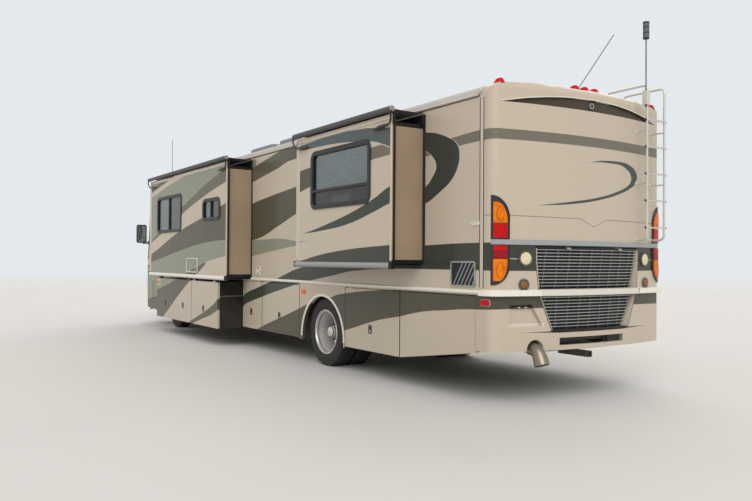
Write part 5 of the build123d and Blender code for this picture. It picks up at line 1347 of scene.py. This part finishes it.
class MakeFront(CoachOperator, bpy.types.Operator):
    """Makes the headlamps, grille, wipers, marker lamps, mirror glasses and the entry door's handle"""
    bl_idname = "coach.make_front"
    bl_label = "Front"

    lamp_z, marker_z, rail_station, mirror_station = 0.78, 3.06, 10.76, 11.84
    grille_low, grille_pitch = 0.577, 0.038
    steps = [
        # height, outer side, inner side
        (0.46, -1.23, -0.68),
        (0.78, -0.94, -0.66),
    ]

    def make(self, sizes):
        for label, side in SIDES:
            self.headlamp(label, side)
            self.wiper(label, side)
            self.mirror_glass(label, side)
        self.grille_bars()
        self.front_markers()
        self.beads()
        self.entry_handle()
        self.grab_rail()
        self.step_treads()

    def headlamp(self, label, side):
        lamp = bmesh.new()
        near, far = sorted((side * 0.71, side * 1.09))
        plate(lamp, rounded(near, far, 0.692, 0.868, 0.03), -0.004, 0.006, on_front, 0.05, 0.006, 0)
        for y, radius, index in ((0.8, 0.062, 0), (0.93, 0.058, 0), (1.035, 0.036, 2)):
            outer, inner = [disc(side * y, self.lamp_z, radius - rim, 32) for rim in (0.0, 0.008)]
            ring_plate(lamp, outer, inner, 0.003, 0.013, on_front, 1)
            dome = ((1, 0.004), (0.9, 0.011), (0.5, 0.015), (0.15, 0.016))
            domed(lamp, side * y, self.lamp_z, radius - 0.01, on_front, dome, index, 32)
        finishes = ["clear_lens", "silver_trim", "amber_lens"]
        piece(f"headlamp_{label}", lamp, finishes, "coach", 50, 0.0015)

    def wiper(self, label, side):
        blade = bmesh.new()
        arm = ((0.16, 1.47, 0.014), (0.3, 1.62, 0.018), (0.62, 1.9, 0.018))
        rubber = ((0.36, 2.1), (0.5, 2.0), (0.62, 1.9), (0.76, 1.78), (0.9, 1.66))
        tube(blade, [on_front(side * y, z, out) for y, z, out in arm], [0.012, 0.008, 0.006], 10)
        tube(blade, [on_front(side * y, z, 0.012) for y, z in rubber], 0.009, 8)
        pivot = [(-0.01, 0.03), (0.006, 0.03), (0.012, 0.02), (0.013, 0)]
        turned(blade, pivot, on_front(side * 0.16, 1.465, 0.004), "x", 24)
        piece(f"wiper_{label}", blade, "gloss_black", "coach", 50, 0)

    def mirror_glass(self, label, side):
        """The two glasses in a mirror's head, which faces the tail."""
        glass, middle = bmesh.new(), 1.31 if side > 0 else 1.47
        place = lambda u, v, out: Vector((self.mirror_station - DATUM - out, side * (middle + u), v))
        plate(glass, rounded(0.018, 0.202, 1.95, 2.215, 0.028), -0.001, 0.004, place, 0, 0.002, 0)
        plate(glass, rounded(0.018, 0.202, 1.84, 1.935, 0.02), -0.001, 0.005, place, 0, 0.003, 0)
        outer, inner = rounded(0.004, 0.216, 1.828, 2.232, 0.034), rounded(0.016, 0.204, 1.838, 2.219, 0.028)
        ring_plate(glass, outer, inner, -0.001, 0.008, place, 1)
        piece(f"mirror_glass_{label}", glass, ["mirror_glass", "gloss_black"], "coach", 40, 0.001)

    def level_bar(self, mesh, z, y0, y1, count, section, index=0):
        """Adds a bar across the bowed front: a section of (out, height)."""
        loft(mesh, [[on_front(y, z + dz, out) for out, dz in section] for y in spread(y0, y1, count)], index)

    def grille_bars(self):
        grille = bmesh.new()
        bar_section = ((-0.03, -0.008), (0.004, -0.006), (0.008, 0.0), (0.004, 0.006), (-0.03, 0.008))
        for k in range(7):
            self.level_bar(grille, self.grille_low + self.grille_pitch * k, -0.447, 0.447, 20, bar_section)
        upright = ((-0.045, -0.006), (-0.026, -0.006), (-0.026, 0.006), (-0.045, 0.006))
        for y in (-0.3, -0.1, 0.1, 0.3):
            loft(grille, [[on_front(y + dy, z, out) for out, dy in upright] for z in (0.561, 0.819)])
        piece("front_grille_bars", grille, "grille_slat", "coach", 40, 0)

    def front_markers(self):
        markers = bmesh.new()
        dome = ((1, -0.004), (1, 0.012), (0.8, 0.024), (0.4, 0.03), (0.1, 0.031))
        flat = lambda u, v, out: on_front(u, self.marker_z + (v - self.marker_z) * 0.45, out)
        for y in (-1.0, -0.16, 0.0, 0.16, 1.0):
            domed(markers, y, self.marker_z, 0.05, flat, dome, 0, 24)
        piece("front_markers", markers, "amber_lens", "coach", 60, 0)

    def beads(self):
        """The belt bead over the whole front and the lower bead on both sides of the grille."""
        bead = bmesh.new()
        section = ((-0.002, -0.02), (0.01, -0.014), (0.014, 0.0), (0.01, 0.014), (-0.002, 0.02))
        for z, y0, y1, index in ((1.14, -1.2, 1.2, 0), (0.62, -1.2, -0.47, 1), (0.62, 0.47, 1.2, 1)):
            self.level_bar(bead, z, y0, y1, 30, section, index)
        piece("front_beads", bead, ["cream_trim", "silver_trim"], "coach", 40, 0)

    def entry_handle(self):
        handle = bmesh.new()
        pan(handle, (10.9, 10.97, 1.42, 1.58), ON_RIGHT, 0.012, (0.02, 0.014), 0.008)
        plate(handle, rounded(10.92, 10.95, 1.46, 1.56, 0.01), 0.002, 0.012, ON_RIGHT, 0, 0.004, 0)
        piece("entry_handle", handle, ["silver_trim", "gloss_black"], "entry_door", 40, 0.001)

    def grab_rail(self):
        rail = bmesh.new()
        route = ((1.3, 0.0), (1.31, 0.05), (1.36, 0.065), (1.9, 0.065), (1.95, 0.05), (1.96, 0.0))
        tube(rail, [ON_RIGHT(self.rail_station, z, out) for z, out in route], 0.012, 12)
        for z in (1.3, 1.96):
            foot = ((1, -0.001), (1, 0.006), (0.7, 0.01), (0.4, 0.011))
            domed(rail, self.rail_station, z, 0.028, ON_RIGHT, foot, 0, 20)
        piece("entry_grab_rail", rail, "bright_tube", "coach", 50, 0)

    def step_treads(self):
        treads = bmesh.new()
        for z, outer, inner in self.steps:
            for k in range(9):
                y = outer + (inner - outer) * (k + 0.2) / 9
                bar(treads, (10.92 - DATUM, y, z - 0.001), (11.47 - DATUM, y + 0.014, z + 0.004))
        piece("step_treads", treads, "black_rubber", "coach", 40, 0.001)


class MakeRoof(CoachOperator, bpy.types.Operator):
    """Makes the louvres of the roof units and the ribs of the roof lids"""
    bl_idname = "coach.make_roof"
    bl_label = "Roof Details"

    units = (7.6, 6.3)
    # Station and half size of each lid
    lids = ((9.4, 0.21), (4.7, 0.25), (3.1, 0.21), (1.5, 0.21))
    lid_z = 3.4195

    def make(self, sizes):
        self.unit_louvres()
        self.lid_ribs()
        self.awning_caps()

    def unit_louvres(self):
        louvres = bmesh.new()
        for station in self.units:
            x = station - DATUM
            for side in (-1, 1):
                for z in [3.36 + 0.019 * k for k in range(9)]:
                    bar(louvres, (x - 0.38, side * 0.3595, z), (x + 0.38, side * 0.366, z + 0.008))
                    bar(louvres, (x + side * 0.4995, -0.26, z), (x + side * 0.506, 0.26, z + 0.008))
        piece("roof_unit_louvres", louvres, "dark_mesh", "coach", 40, 0.001)

    def lid_ribs(self):
        lids = bmesh.new()
        for station, half in self.lids:
            x = station - DATUM
            for k in range(-2, 3):
                y = k * half * 0.36
                route = [(x + u * half, y, self.lid_z + 0.004 * (1 - u * u)) for u in spread(-0.72, 0.72, 8)]
                tube(lids, route, 0.006, 8)
            on_roof = lambda u, v, out: Vector((x + u, v, roof_at(v) + out))
            outer, inner = around(0, 0, half + 0.03, half + 0.03, 0.05), around(0, 0, half, half, 0.04)
            ring_plate(lids, outer, inner, 0.0, 0.02, on_roof, 1)
        piece("roof_lid_ribs", lids, ["white_plastic", "roof_skin"], "coach", 40, 0)

    def awning_caps(self):
        caps = bmesh.new()
        profile = [(-0.004, 0.048), (0.008, 0.047), (0.014, 0.04), (0.014, 0.015), (0.02, 0.013),
                   (0.021, 0.0)]
        for station, side in ((3.4, -1), (9.4, 1)):
            centre = (station - DATUM, -HALF_WIDTH - 0.075, 2.96)
            turned(caps, profile, centre, "x", 40, 0, False, side)
        piece("awning_caps", caps, "silver_trim", "coach", 40, 0)


class MakeSeats(CoachOperator, bpy.types.Operator):
    """Makes the padded seats and the driver's instruments"""
    bl_idname = "coach.make_seats"
    bl_label = "Seats and Dash"

    seat_y, dash_station, dial_z = 0.6, 11.25, 1.567
    cushions = [
        # name, rear, front, half width, bottom, top, the axis that its face looks along, crown
        ("pad", 10.29, 10.82, 0.275, 1.44, 1.6, 2, 0.03),
        ("back", 10.235, 10.4, 0.265, 1.5, 2.02, 0, 0.025),
        ("head", 10.24, 10.39, 0.262, 2.03, 2.17, 0, 0.015),
    ]

    def make(self, sizes):
        for label, side in SIDES:
            y = side * self.seat_y
            for name, rear, front, half, bottom, top, up, crown in self.cushions:
                low, high = (rear, y - half, bottom), (front, y + half, top)
                self.cushion(f"seat_{name}_{label}", low, high, up, crown)
        self.instruments()

    def instruments(self):
        dash = bmesh.new()
        place = lambda u, v, out: Vector((self.dash_station - DATUM - out, u, v))
        outer, inner = rounded(0.36, 0.84, 1.49, 1.645, 0.04), rounded(0.38, 0.82, 1.505, 1.63, 0.03)
        ring_plate(dash, outer, inner, 0.0, 0.04, place, 0)
        for y, radius in ((0.45, 0.03), (0.53, 0.045), (0.64, 0.045), (0.73, 0.03), (0.79, 0.02)):
            outer, inner = [disc(y, self.dial_z, radius - rim, 28) for rim in (0.0, 0.004)]
            ring_plate(dash, outer, inner, 0.0, 0.008, place, 2)
            dome = ((1, 0.0), (0.95, 0.003), (0.3, 0.004))
            domed(dash, y, self.dial_z, radius - 0.004, place, dome, 1, 28)
        for k in range(6):
            button = rounded(-0.15 + 0.09 * k, -0.08 + 0.09 * k, 1.5, 1.54, 0.008)
            plate(dash, button, 0.0, 0.006, place, 0, 0.002, 2 if k % 2 else 1)
        finishes = ["dash_vinyl", "gloss_black", "silver_trim"]
        piece("instruments", dash, finishes, "coach", 40, 0.002)

    def cushion(self, name, low, high, up, crown, count=20):
        """A crowned closed form with sewn channels, whose sides pull in between its corners."""
        made = bmesh.new()
        bmesh.ops.create_cube(made, size=2)
        bmesh.ops.subdivide_edges(made, edges=made.edges[:], cuts=count, use_grid_fill=True)
        across, along = [axis for axis in (1, 0, 2) if axis != up][:2]
        for v in made.verts:
            p = v.co.copy()
            p /= sum(abs(value)**7 for value in p) ** (1 / 7)
            swell = (1 - p[across]**4) * (1 - p[along]**4)
            groove = sum(max(0.0, 1 - abs(abs(p[across]) - at) / wide)
                         for at, wide in ((0.36, 0.05), (0.84, 0.04)))
            spot = [low[i] + (high[i] - low[i]) * (p[i] + 1) / 2 for i in range(3)]
            spot[up] += (1 if p[up] > 0 else -0.15) * (crown * swell - 0.011 * groove * abs(p[up])**3)
            for axis, other in ((across, along), (along, across)):
                spot[axis] -= 0.008 * (1 - p[other]**2) * (1 if p[axis] > 0 else -1) * abs(p[axis])**6
            v.co = Vector((spot[0] - DATUM, spot[1], spot[2]))
        made = piece(name, made, "seat_cloth", "coach", 60, 0)
        softening = made.modifiers.new("Softening", "SUBSURF")
        softening.levels, softening.render_levels = 1, 1


class MakeWheels(CoachOperator, bpy.types.Operator):
    """Makes the tyres with their tread, and the wheel faces"""
    bl_idname = "coach.make_wheels"
    bl_label = "Wheels"

    axle_ends = [
        # body, node of the tyres, axle station, sides of the tyres, side, wheel face
        ("front_left_wheel", "front_left_tyre", FRONT_AXLE, [1.003], 1, "front"),
        ("front_right_wheel", "front_right_tyre", FRONT_AXLE, [-1.003], -1, "front"),
        ("rear_left_wheels", "rear_left_tyres", REAR_AXLE, [1.118, 0.833], 1, "rear"),
        ("rear_right_wheels", "rear_right_tyres", REAR_AXLE, [-1.118, -0.833], -1, "rear"),
    ]
    # Profiles as (out from the tyre's middle, radius). The rear dish is deep, with the nuts far inside
    dishes = {
        "front": [(0.1, 0.289), (0.108, 0.283), (0.102, 0.272), (0.06, 0.262), (0.05, 0.24), (0.07, 0.2),
                  (0.088, 0.165), (0.09, 0.125), (0.092, 0.118)],
        "rear": [(0.112, 0.309), (0.12, 0.306), (0.124, 0.299), (0.121, 0.289), (0.108, 0.283), (0.1, 0.274),
                 (0.05, 0.267), (0.04, 0.252), (0.034, 0.244), (0.026, 0.242), (-0.03, 0.238),
                 (-0.05, 0.232),
                 (-0.067, 0.216), (-0.066, 0.19), (-0.059, 0.165), (-0.057, 0.112)],
    }
    # Black rings round the hub caps: painted shade in the gap behind each cap
    hub_shade_rings = {
        "front": [(0.09, 0.115), (0.098, 0.108), (0.102, 0.09), (0.102, 0.084)],
        "rear": [(-0.06, 0.112), (-0.03, 0.108), (-0.022, 0.1), (-0.018, 0.08)],
    }
    caps = {
        "front": [(0.098, 0.085), (0.122, 0.083), (0.134, 0.074), (0.142, 0.05), (0.145, 0.0)],
        "rear": [(-0.02, 0.081), (0.02, 0.079), (0.024, 0.074), (0.046, 0.071), (0.058, 0.06),
                 (0.065, 0.036),
                 (0.067, 0.0)],
    }
    # Radius and depth of the circle of nuts, and of the circle of hand holes
    nuts = {"front": (0.1425, 0.09), "rear": (0.1425, -0.059)}
    holes = {"front": (0.212, 0.062), "rear": (0.205, -0.0695)}
    nut_profile = [(-0.004, 0.019), (0.006, 0.019), (0.008, 0.0155), (0.03, 0.0155), (0.036, 0.011),
                   (0.038, 0.0)]

    def make(self, sizes):
        for body, node, station, middles, side, kind in self.axle_ends:
            tyres = bmesh.new()
            for y in middles:
                self.tyre(tyres, (station, y, TYRE_RADIUS), sizes.tread)
            made = piece(f"{body}_tread", tyres, "tyre_rubber", body, 32, 0)
            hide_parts(node)
            self.face(f"{body}_face", body, station, middles[0], side, kind)

    def tyre_section(self, depth):
        """Half of a tyre's section, from its bead up the wall and over three ribs, as (along, radius)."""
        top, bead = TYRE_RADIUS, 0.2905
        section = []
        for t in spread(0, 1, 12):
            bulge = 0.0295 * sin(pi * min(1.0, t * 1.12) * 0.86)
            section.append((0.095 + bulge, bead + (top - 0.012 - bead) * t))
        section += [(0.112, top - 0.006), (0.104, top - 0.0015), (0.1, top)]
        ribs = [0.085, 0.0785, 0.052, 0.0455, 0.019, 0.0125]
        for k, at in enumerate(ribs):
            section.append((at, top - 0.0006 * k if k % 2 else top - 0.0003))
            if k % 2 == 0:
                section += [(at - 0.0004, top - depth), (ribs[k + 1] + 0.0004, top - depth)]
        return section

    def tyre(self, mesh, centre, depth):
        """A ribbed highway tyre with sipes across its shoulders."""
        half = self.tyre_section(depth)
        count, rows = 144, []
        for along, radius in half + [(-a, r) for a, r in reversed(half)]:
            shoulder = abs(along) > 0.086 and radius > TYRE_RADIUS - 0.02
            row = []
            for i in range(count):
                a, r = tau * i / count, radius - (depth * 0.45 if shoulder and i % 3 == 0 else 0.0)
                row.append(Vector(centre) + Vector((r * cos(a), along, r * sin(a))))
            rows.append(row)
        loft(mesh, rows, wrap=True)

    def circle(self, station, y, radius, turn):
        """Ten points about an axle, the first turned from the front by a share of their pitch."""
        angles = [tau * (k + turn) / 10 for k in range(10)]
        return [(station + radius * cos(a), y, TYRE_RADIUS + radius * sin(a)) for a in angles]

    def face(self, name, body, station, tyre_y, side, kind):
        """The wheel's dished face with hand holes, nuts and hub."""
        made, dish = bmesh.new(), self.dishes[kind]
        centre = (station, tyre_y, TYRE_RADIUS)
        inside = [(dish[-1][0] - 0.004, 0.112), (dish[0][0] - 0.012, dish[0][1] - 0.005)]
        turned(made, dish + inside, centre, "y", 72, 0, True, side)
        turned(made, self.hub_shade_rings[kind], centre, "y", 48, 1, False, side)
        turned(made, self.caps[kind], centre, "y", 48, 2, False, side)
        radius, depth = self.nuts[kind]
        for at in self.circle(station, tyre_y + side * depth, radius, 0.5):
            turned(made, self.nut_profile, at, "y", 6, 2, False, side)
            turned(made, [(-0.004, 0.024), (0.004, 0.024), (0.005, 0.0)], at, "y", 20, 0, False, side)
        # Black discs close the hand holes: painted shade seen through them
        radius, depth = self.holes[kind]
        for at in self.circle(station, tyre_y + side * depth, radius, 0.0):
            turned(made, [(0.001, 0.0305), (0.0055, 0.0285), (0.0057, 0.0)], at, "y", 20, 1, False, side)
        piece(name, made, ["wheel_alloy", "black_rubber", "polished_alloy"], body, 24, 0)


class MakeToppers(CoachOperator, bpy.types.Operator):
    """Makes the awning fabric that spans each slide-out room"""
    bl_idname = "coach.make_toppers"
    bl_label = "Slide Toppers"

    near, far = HALF_WIDTH + 0.004, 1.7265
    height, fall, margin, cell, thickness = 3.104, 0.0035, 0.012, 0.05, 0.0012

    def make(self, sizes):
        for name, (rear, front, _) in ROOMS.items():
            columns = int((front - rear) / self.cell)
            mesh = self.fabric(rear + self.margin, front - rear - 2 * self.margin, columns, sizes.sag)
            cloth = piece(f"{name}_topper_cloth", mesh, "topper_cloth", "coach", 60, 0)
            skin = cloth.modifiers.new("Thickness", "SOLIDIFY")
            skin.thickness, skin.offset = self.thickness, 0
            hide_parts(f"{name}_topper_sheet")
            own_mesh(cloth)

    def fabric(self, start, length, columns, sag):
        """A sheet that hangs a little between wall and roller, less at its two ends."""
        grid = []
        for i in range(columns + 1):
            station = start + length * i / columns
            edge = min(1.0, min(i, columns - i) / 3)
            line = []
            for t in spread(0, 1, 16):
                dip = sag * 4 * t * (1 - t) * (0.75 + 0.25 * edge + 0.06 * sin(station * 9))
                y = self.near + (self.far - self.near) * t
                line.append((station - DATUM, y, self.height - dip + self.fall * t))
            grid.append(line)
        mesh = bmesh.new()
        loft(mesh, grid, 0, False, False)
        return mesh


class MakeStage(CoachOperator, bpy.types.Operator):
    """Makes the floor, the lights and the camera at the photograph's angle"""
    bl_idname = "coach.make_stage"
    bl_label = "Stage"

    floor_reach = 150
    camera_at = (-5.7236, 6.2942, 1.4534)
    yaw, pitch, roll = radians(-32.7644), radians(0.7536), radians(0.4004)
    lights = (("key_light", (-0.75, 0.45, 0.7), 1.5), ("fill_light", (0.6, -0.6, 0.6), 0.8))

    def make(self, sizes):
        bpy.context.scene.view_settings.view_transform = "Standard"
        self.camera(sizes.lens_mm)
        self.floor()
        self.background()
        for name, source, strength in self.lights:
            lamp = bpy.data.lights.new(name, "SUN")
            lamp.energy, lamp.angle = strength, radians(50)
            made = bpy.data.objects.new(name, lamp)
            bpy.context.scene.collection.objects.link(made)
            made.rotation_euler = Vector(source).to_track_quat("Z", "Y").to_euler()

    def camera(self, focal_length):
        data = bpy.data.cameras.new("Camera")
        data.sensor_width, data.lens, data.clip_end = 36, focal_length, 400
        camera = bpy.data.objects.new("Camera", data)
        yaw, pitch, roll = self.yaw, self.pitch, self.roll
        ahead = Vector((cos(yaw) * cos(pitch), sin(yaw) * cos(pitch), sin(pitch)))
        level = Vector((sin(yaw), -cos(yaw), 0))
        upright = level.cross(ahead)
        right, up = cos(roll) * level + sin(roll) * upright, -sin(roll) * level + cos(roll) * upright
        turn = Matrix((right, up, -ahead)).transposed().to_4x4()
        x, y, z = self.camera_at
        camera.matrix_world = Matrix.Translation((x - DATUM, y, z)) @ turn
        bpy.context.scene.collection.objects.link(camera)
        bpy.context.scene.camera = camera

    def floor(self):
        f = Finish("studio_floor")
        f.place()
        f.set(Base_Color=f.mix(f.noise(0.4, 3.0), (0.6, 0.595, 0.58), (0.65, 0.645, 0.63)), Roughness=0.85)
        # Far off, the floor takes the background's own brightness, so that no horizon shows
        away = f.node("ShaderNodeVectorMath", {"operation": "LENGTH"}, [f.where], output=1)
        f.fade(((away - 25.0) / 45.0).clamped(), tuple(BACKGROUND_STRENGTH * v for v in BACKGROUND))
        mesh = bpy.data.meshes.new("floor")
        corners = [(x * self.floor_reach, y * self.floor_reach, 0) for x,
                   y in ((-1, -1), (1, -1), (1, 1), (-1, 1))]
        mesh.from_pydata(corners, [], [(0, 1, 2, 3)])
        mesh.materials.append(f.material)
        ground = bpy.data.objects.new("floor", mesh)
        bpy.context.scene.collection.objects.link(ground)

    def background(self):
        """A warm soft sky that lights the coach, and a plain backdrop that only the camera sees."""
        world = bpy.data.worlds.new("studio")
        bpy.context.scene.world = world
        world.use_nodes = True
        tree = world.node_tree
        sky, shown = tree.nodes["Background"], tree.nodes.new("ShaderNodeBackground")
        tones = ((sky, (1.0, 0.97, 0.92), 0.75), (shown, BACKGROUND, BACKGROUND_STRENGTH))
        for node, tone, strength in tones:
            node.inputs["Color"].default_value = (*tone, 1)
            node.inputs["Strength"].default_value = strength
        path, chosen = tree.nodes.new("ShaderNodeLightPath"), tree.nodes.new("ShaderNodeMixShader")
        tree.links.new(path.outputs["Is Camera Ray"], chosen.inputs[0])
        tree.links.new(sky.outputs[0], chosen.inputs[1])
        tree.links.new(shown.outputs[0], chosen.inputs[2])
        tree.links.new(chosen.outputs[0], tree.nodes["World Output"].inputs[0])


OPERATORS = [PaintSurfaces, MakeTailLamps, MakeEngineDoor, MakeTailFittings, MakeMouldings,
             MakeSideFittings, MakeFront, MakeRoof, MakeSeats, MakeWheels, MakeToppers, MakeStage]


class CoachPanel(bpy.types.Panel):
    """Lists the coach's pieces and settings"""
    bl_idname = "VIEW3D_PT_coach"
    bl_label = "Motorhome"
    bl_space_type = "VIEW_3D"
    bl_region_type = "UI"
    bl_category = "Motorhome"

    def draw(self, context):
        for settings in (context.scene.coach_colours, context.scene.coach_sizes):
            for key in settings.__annotations__:
                self.layout.prop(settings, key)
        for operator in OPERATORS:
            self.layout.operator(operator.bl_idname)


CLASSES = [CoachColours, CoachSizes, *OPERATORS, CoachPanel]


def register():
    for cls in CLASSES:
        bpy.utils.register_class(cls)
    bpy.types.Scene.coach_colours = bpy.props.PointerProperty(type=CoachColours)
    bpy.types.Scene.coach_sizes = bpy.props.PointerProperty(type=CoachSizes)


def unregister():
    del bpy.types.Scene.coach_colours, bpy.types.Scene.coach_sizes
    for cls in reversed(CLASSES):
        bpy.utils.unregister_class(cls)


def main():
    register()
    for operator in OPERATORS:
        group, name = operator.bl_idname.split(".")
        getattr(getattr(bpy.ops, group), name)()


if __name__ == "__main__":
    main()
